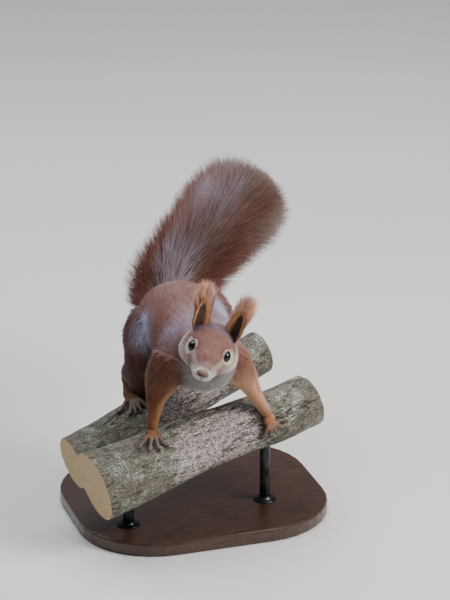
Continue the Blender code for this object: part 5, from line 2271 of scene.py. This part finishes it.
@dataclass
class TailCoat:
    """The plume: long hair that leaves the bone forwards and fans out to both sides."""

    count: int = 38000
    # Turns in degrees of the painted sheen along the flat sides, of the same nearer the root, and of the
    # painted shadow.
    parting: float = 58.0
    root_parting: float = 86.0
    shaded: float = 98.0
    stops: tuple[float, ...] = (0.0, 0.55, 1.0)

    def at(self, tube: Tube, station: Array, turn: Array, share: Array) -> Array:
        """The point at a station and turn, a share of the way out to the plume's edge."""
        place = np.clip(station, 0.0, 1.0) * (tube.rings - 1)
        low = np.minimum(place.astype(int), tube.rings - 2)
        t = (place - low)[:, None]

        def along(rows: Array) -> Array:
            """A row table read between its rings."""
            return rows[low] * (1 - t) + rows[low + 1] * t

        radii = along(tube.radii)
        height = np.where(np.sin(turn) > 0, radii[:, 1], radii[:, 2])
        past = np.maximum(station - 1.0, 0.0)[:, None] * tube.length
        return (
            along(tube.centres)
            + along(tube.along) * past
            + along(tube.across) * (share * radii[:, 0] * np.cos(turn))[:, None]
            + along(tube.above) * (share * height * np.sin(turn))[:, None]
        )

    def build(self, material: Material) -> None:
        """Adds the plume in pieces.

        A hair is the curve (1 - s)^2 root + 2 s (1 - s) shoulder + s^2 end, whose shoulder and end
        lie further along the bone and further out towards the plume's edge.
        """
        rng = np.random.default_rng(SEED + 4)
        tube = Tube(Region.TAIL, TAIL, wide=TAIL_WIDE_AXIS, rings=120, sides=32)
        bone = 4.0
        turn = rng.uniform(0.0, 2 * math.pi, self.count * 3)
        keep = rng.random(len(turn)) < 0.35 + 0.65 * np.cos(turn) ** 2
        turn = turn[keep][: self.count]
        count = len(turn)
        station = rng.uniform(0.015, 0.98, count)
        edge = self.at(tube, station, turn, np.ones(count)) - self.at(tube, station, turn, np.zeros(count))
        breadth = np.linalg.norm(edge, axis=1)
        share = 0.42 + 0.68 * rng.random(count) ** 0.45
        share *= 1.0 - ramp(0.82, 0.98, station) * rng.random(count)
        free = 0.25 + 0.75 * ramp(0.0, 0.3, station)
        sweep = rng.uniform(12.0, 30.0, count) * (0.6 + 0.4 * share) * free / tube.length
        most = 1.0 + 0.02 * rng.random(count) + 0.05 * ramp(0.9, 0.2, share)
        end_station = np.minimum(station + sweep, most)
        root = self.at(tube, station, turn, np.minimum(bone * (1 - 0.6 * station) / breadth, 0.5))
        shoulder = self.at(tube, np.minimum(station + 0.42 * sweep, 1.0), turn, share * 0.72)
        end = self.at(tube, end_station, turn, share)
        wave = np.stack([lumps(end, 9.0, 50 + axis) for axis in range(3)], axis=1)
        end = end + 1.6 * wave * share[:, None]
        scatter = rng.standard_normal(end.shape)
        end = end + 0.18 * (cell_middles(end, end / 5.5) - end) + 0.8 * scatter * share[:, None]
        s = np.array(self.stops)[None, :, None]
        paths = ((1 - s) ** 2 * root[:, None] + 2 * s * (1 - s) * shoulder[:, None] + s**2 * end[:, None])
        normals = unit(edge)
        shades = self.shades(turn, station, end, rng)
        widths = 0.25 * rng.uniform(0.6, 1.25, (count, 1)) * (0.8, 1.0)
        chart = np.stack([turn / (2 * math.pi) % 1.0, station], axis=1)
        strands = Strands(paths, widths, normals, shades, chart).chosen(np.argsort(station))
        add_strands("coat_tail", strands, material, "coat_tail", 0.5, 0.7)

    def shades(self, turn: Array, station: Array, end: Array, rng: Chance) -> Array:
        """Red-brown, with a lilac-grey painted sheen along each flat side, painted shadow on the side turned
        to the front, and a frosted beige end.

        The painted sheen is a step of the cosine of the turn from its own turn, broken up by slow noise.
        """
        count = len(turn)
        parting = self.parting + (self.root_parting - self.parting) * ramp(0.35, 0.05, station)
        cosine = np.abs(np.cos(turn - np.radians(parting)))
        patchy = 0.85 + 0.9 * lumps(end, 19.0, 61) + 0.25 * lumps(end, 7.0, 62)
        patchy *= 1.0 - 0.5 * ramp(0.4, 0.8, station)
        flat = np.clip(ramp(0.74, 0.98, cosine) * patchy, 0.0, 1.0)
        late = ramp(0.55, 0.98, station)
        edge = ramp(0.3, 0.7, station) * ramp(0.5, 0.95, -np.cos(turn))
        beige = 0.85 * np.maximum(late, 0.9 * edge)
        # Lilac-grey where flat is high: painted sheen along the flat sides.
        root = mixed("2e1a14", "6b5d64", flat)
        middle = mixed(mixed("4e2719", "7e6f78", flat), "6d6058", 0.6 * beige)
        tip = mixed(mixed("723a27", "85767d", 0.75 * flat), "a2968a", beige)
        frosted = (rng.random(count) < 0.20).astype(float)
        tip = mixed(tip, "8e7674", frosted * 0.6)
        tone = 1.0 + 0.16 * rng.standard_normal(count) + 0.10 * lumps(end, 8.0, 60)
        # Painted shadow: darker on the side whose turn is near the painted shadow's, less towards the end.
        shaded = ramp(0.45, 1.0, np.cos(turn - math.radians(self.shaded)))
        tone *= 1.0 - 0.5 * shaded * (1.0 - 0.5 * late) * ramp(0.0, 0.3, station)
        shades = np.stack([root, middle, tip], axis=1)
        return shades * np.clip(tone, 0.55, 1.5)[:, None, None]


@dataclass
class Claws:
    """Claws of every toe."""

    paws: dict[str, Paw]

    def build(self) -> None:
        """Adds the claws as one piece, each worn paler to its point."""
        shapes = [shape for paw in self.paws.values() for shape in paw.claws()]
        whole = joined(shapes)
        mesh = whole.mesh("claws")
        worn = np.concatenate([self.wear(shape) for shape in shapes])
        attach(mesh, "worn", worn)
        add_piece("claws", mesh, [Horn().material()], "claw")

    def wear(self, shape: Shape) -> Array:
        """From 0 at the claw's root to 1 at its point."""
        rows = np.arange(len(shape.points) - 2) // 12 / 13.0
        return np.concatenate([rows**1.5, (0.0, 1.0)])


@dataclass
class Perch:
    """The cut fork of branch: two limbs grown together, with furrowed bark."""

    limbs: tuple[Limb, ...] = (Limb(FRONT_LIMB), Limb(BACK_LIMB))
    voxel: float = 1.15

    def furrows(self, points: Array) -> tuple[Array, Array, Array]:
        """How far the bark stands out, how deep it is cracked, and its grain's own coordinates.

        Noise drawn out six-fold along the limb gives plates; where a second such noise crosses zero
        runs a crack. Broad lumps swell the limb.
        """
        tubes = [limb.tube() for limb in self.limbs]
        found = [tube.locate(points) for tube in tubes]
        outside = np.stack([each.outside for each in found])
        owner = np.argmin(outside, axis=0)
        turn = picked((each.turn for each in found), owner)
        way = picked((each.station * tube.length for each, tube in zip(found, tubes)), owner)
        radius = 22.0 - 4.0 * owner
        drawn = np.stack([np.cos(turn) * radius, np.sin(turn) * radius, way / 6.0 + 40.0 * owner], axis=1)
        bend = lumps(points, 14.0, 70)[:, None] * 1.5
        plates = lumps(drawn + bend, 4.2, 71)
        cracks = np.abs(lumps(drawn + bend, 3.4, 72) + 0.35 * lumps(drawn, 1.5, 73))
        crack = ramp(0.16, 0.02, cracks) * ramp(-0.3, 0.3, lumps(points, 11.0, 74) + 0.15)
        out = 0.35 * plates + 0.35 * lumps(drawn, 1.7, 75) + 0.5 * lumps(points, 18.0, 76)
        grain = np.stack([drawn[:, 0], way, drawn[:, 1] + 60.0 * owner], axis=1)
        return np.clip(out, -1.5, 0.45) - 0.9 * crack, crack, grain

    def worn(self, points: Array, normals: Array) -> Array:
        """Where the bark of the front limb is rubbed away to pale wood."""
        x = points[:, 0]
        facing_front = normals @ unit(np.array((-0.2, -0.9, 0.2)))
        patch = ramp(-52.0, 6.0, x) * ramp(66.0, 30.0, x) * ramp(0.1, 0.75, facing_front)
        drawn = points * (0.25, 1.0, 1.0)
        rough = 0.6 * lumps(drawn, 3.0, 80) + 0.25 * lumps(drawn, 1.2, 81)
        return ramp(0.50, 0.62, patch + 0.45 * rough)

    def build(self) -> None:
        """Melts the limbs, furrows them, saws both ends and adds the piece."""
        shape, normals = melted([limb.tube().shape() for limb in self.limbs], self.voxel, 5)
        out = self.furrows(shape.points)[0]
        shape = Shape(shape.points + normals * out[:, None], shape.quads)
        cut = bmesh.new()
        rough = make_mesh("rough_perch", shape.points, shape.quads, shape.triangles)
        cut.from_mesh(rough)
        bpy.data.meshes.remove(rough)
        for index, (point, outwards) in enumerate(PERCH_CUTS):
            everything = [*cut.verts, *cut.edges, *cut.faces]
            made = bmesh.ops.bisect_plane(
                cut, geom=everything, plane_co=point, plane_no=unit(outwards), clear_outer=True
            )
            rim = [part for part in made["geom_cut"] if isinstance(part, bmesh.types.BMEdge)]
            filled = bmesh.ops.triangle_fill(cut, edges=rim, use_beauty=True)
            for face in filled["geom"]:
                if isinstance(face, bmesh.types.BMFace):
                    face.material_index = 1 + index
                    face.smooth = False
        bmesh.ops.recalc_face_normals(cut, faces=cut.faces)
        mesh = bpy.data.meshes.new("perch")
        cut.to_mesh(mesh)
        cut.free()
        points = read_rows(mesh.vertices, "co")
        _, crack, grain = self.furrows(points)
        attach(mesh, "crack", crack)
        attach(mesh, "worn", self.worn(points, read_rows(mesh.vertex_normals, "vector")))
        attach(mesh, "grain", grain)
        mesh.vertices.foreach_set("co", ((points - ORIGIN) * MM).astype(np.float32).ravel())
        mesh.update()
        materials = [Bark().material()]
        piths = ((-84, 12, -31), (92, 70, 12))
        for name, (_, outwards), pith in zip(("sawn_left", "sawn_right"), PERCH_CUTS, piths):
            place = (np.array(pith, float) - ORIGIN) * MM
            materials.append(SawnEnd(name, tuple(place), self.angles(facing(outwards))).material())
        add_piece("perch", mesh, materials, "bark", ["perch_branch"])

    def angles(self, turn: Array) -> tuple[float, float, float]:
        """The turns about X, Y and Z that make up a turn."""
        pitch = -math.asin(max(-1.0, min(1.0, turn[2, 0])))
        return math.atan2(turn[2, 1], turn[2, 2]), pitch, math.atan2(turn[1, 0], turn[0, 0])


@dataclass
class Stand:
    """The display stand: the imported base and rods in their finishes, with a collar at each foot."""

    collar: tuple[tuple[float, float], ...] = (
        (4.05, 3.6),
        (4.6, 3.6),
        (5.0, 3.2),
        (5.2, 1.6),
        (7.6, 1.2),
        (8.4, 0.9),
        (8.6, 0.35),
        (8.4, 0.05),
        (4.05, 0.05),
    )

    def build(self, nodes: dict[str, Item]) -> None:
        """Finishes the solids and turns the collars about the rods' middles."""
        steel = StandSteel().material()
        self.finish(nodes["stand_base"], StandWood().material())
        turn = np.linspace(0.0, 2 * math.pi, 64, endpoint=False)
        around = np.stack([np.cos(turn), np.sin(turn)])
        for word in SIDE_NAMES.values():
            name = f"stand_rod_{word}"
            self.finish(nodes[name], steel)
            low, high = (np.array(corner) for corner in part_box(name))
            middle = (low[:2] + high[:2]) / 2
            top = np.array(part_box("stand_base")[1])[2]
            rings = [
                np.stack([*(middle[:, None] + MM * r * around), np.full(64, top + MM * z)], axis=1)
                for r, z in self.collar
            ]
            shape = woven(np.stack(rings), hoop=True)
            mesh = make_mesh(f"stand_collar_{word}", shape.points, shape.quads, shape.triangles)
            add_piece(f"stand_collar_{word}", mesh, [steel], "stand_steel")

    def finish(self, node: Item, material: Material) -> None:
        """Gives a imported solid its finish."""
        for slot in node.material_slots:
            slot.material = material
        if not node.material_slots:
            node.data.materials.append(material)


@dataclass
class Studio:
    """Plain pale floor, soft lights and the camera."""

    target: tuple[float, float, float] = (0.0052, -0.064, 0.191)
    azimuth: float = -18.0
    elevation: float = 21.0
    distance: float = 2.0
    frame_height: float = 0.438
    sensor: float = 36.0
    floor_reach: float = 9.0
    floor_drop: float = 0.0004

    def build(self) -> None:
        """Adds them all."""
        self.floor()
        self.light("key", (1.05, -0.85, 1.15), 0.8, 36.0, (1.0, 0.985, 0.96))
        self.light("sky", (-0.15, 0.45, 1.6), 1.4, 32.0, (0.90, 0.94, 1.0))
        world = bpy.data.worlds.new("studio")
        world.use_nodes = True
        world.node_tree.nodes["Background"].inputs[0].default_value = (0.86, 0.90, 0.96, 1.0)
        world.node_tree.nodes["Background"].inputs[1].default_value = 0.2
        bpy.context.scene.world = world
        self.camera()

    def floor(self) -> None:
        """A wide pale floor under the stand."""
        corners = np.array([(-1, -1, 0), (1, -1, 0), (1, 1, 0), (-1, 1, 0)]) * self.floor_reach
        corners[:, 2] = -self.floor_drop
        mesh = make_mesh("floor", corners, np.array([(0, 1, 2, 3)]), np.zeros((0, 3), np.int64))
        mesh.materials.append(PaleFloor().material())
        placed("floor", mesh)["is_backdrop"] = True

    def light(
        self, name: str, place: Sequence[float], size: float, power: float, tint: Sequence[float]
    ) -> None:
        """A square soft light aimed at the model's middle."""
        lamp = bpy.data.lights.new(name, "AREA")
        lamp.size, lamp.energy, lamp.color = size, power, tint
        self.aim(placed(name, lamp), place, np.array(place) - (0.0, 0.0, 0.12))

    def aim(self, item: Item, place: Sequence[float], back: Array) -> None:
        """Puts a lamp or camera in its place, looking against a direction, upright."""
        back = unit(back)
        right = unit(np.cross((0.0, 0.0, 1.0), back))
        up = np.cross(back, right)
        matrix = np.eye(4)
        matrix[:3, 0], matrix[:3, 1], matrix[:3, 2] = right, up, back
        matrix[:3, 3] = place
        item.matrix_world = Matrix(matrix.tolist())

    def camera(self) -> None:
        """A long lens from a little above, to the animal's right of straight ahead."""
        azimuth, elevation = math.radians(self.azimuth), math.radians(self.elevation)
        flat = math.cos(elevation)
        back = np.array((math.sin(azimuth) * flat, -math.cos(azimuth) * flat, math.sin(elevation)))
        lens = bpy.data.cameras.new("camera")
        lens.sensor_width = self.sensor
        lens.lens = self.sensor * self.distance / self.frame_height
        lens.clip_start, lens.clip_end = 0.05, 60.0
        item = placed("camera", lens)
        self.aim(item, np.array(self.target) + back * self.distance, back)
        bpy.context.scene.camera = item


def clear_scene() -> None:
    """Removes what the startup file brought."""
    for item in list(bpy.data.objects):
        bpy.data.objects.remove(item)


def main(frame: dict, solids: Array) -> None:
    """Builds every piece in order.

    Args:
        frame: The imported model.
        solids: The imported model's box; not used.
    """
    body = Body(body_tubes())
    paws = all_paws()
    skin = Skin(body, Eyes(), Ears(), paws)
    skin.grow()
    skin.build()
    skin.eyes.build()
    NosePad().build()
    Claws(paws).build()
    coat = Coat(skin)
    coat.build()
    EarCoat(skin).build(coat.material)
    LidHair(skin).build(coat.material)
    Whiskers().build()
    TailCoat().build(Hair("tail_hair", sheen=0.06).material())
    Perch().build()
    Stand().build(frame["nodes"])
    Studio().build()
    bpy.context.view_layer.update()


if __name__ == "__main__":
    logging.basicConfig(level=logging.INFO, format="%(message)s")
    clear_scene()
    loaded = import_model()
    main(loaded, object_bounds())
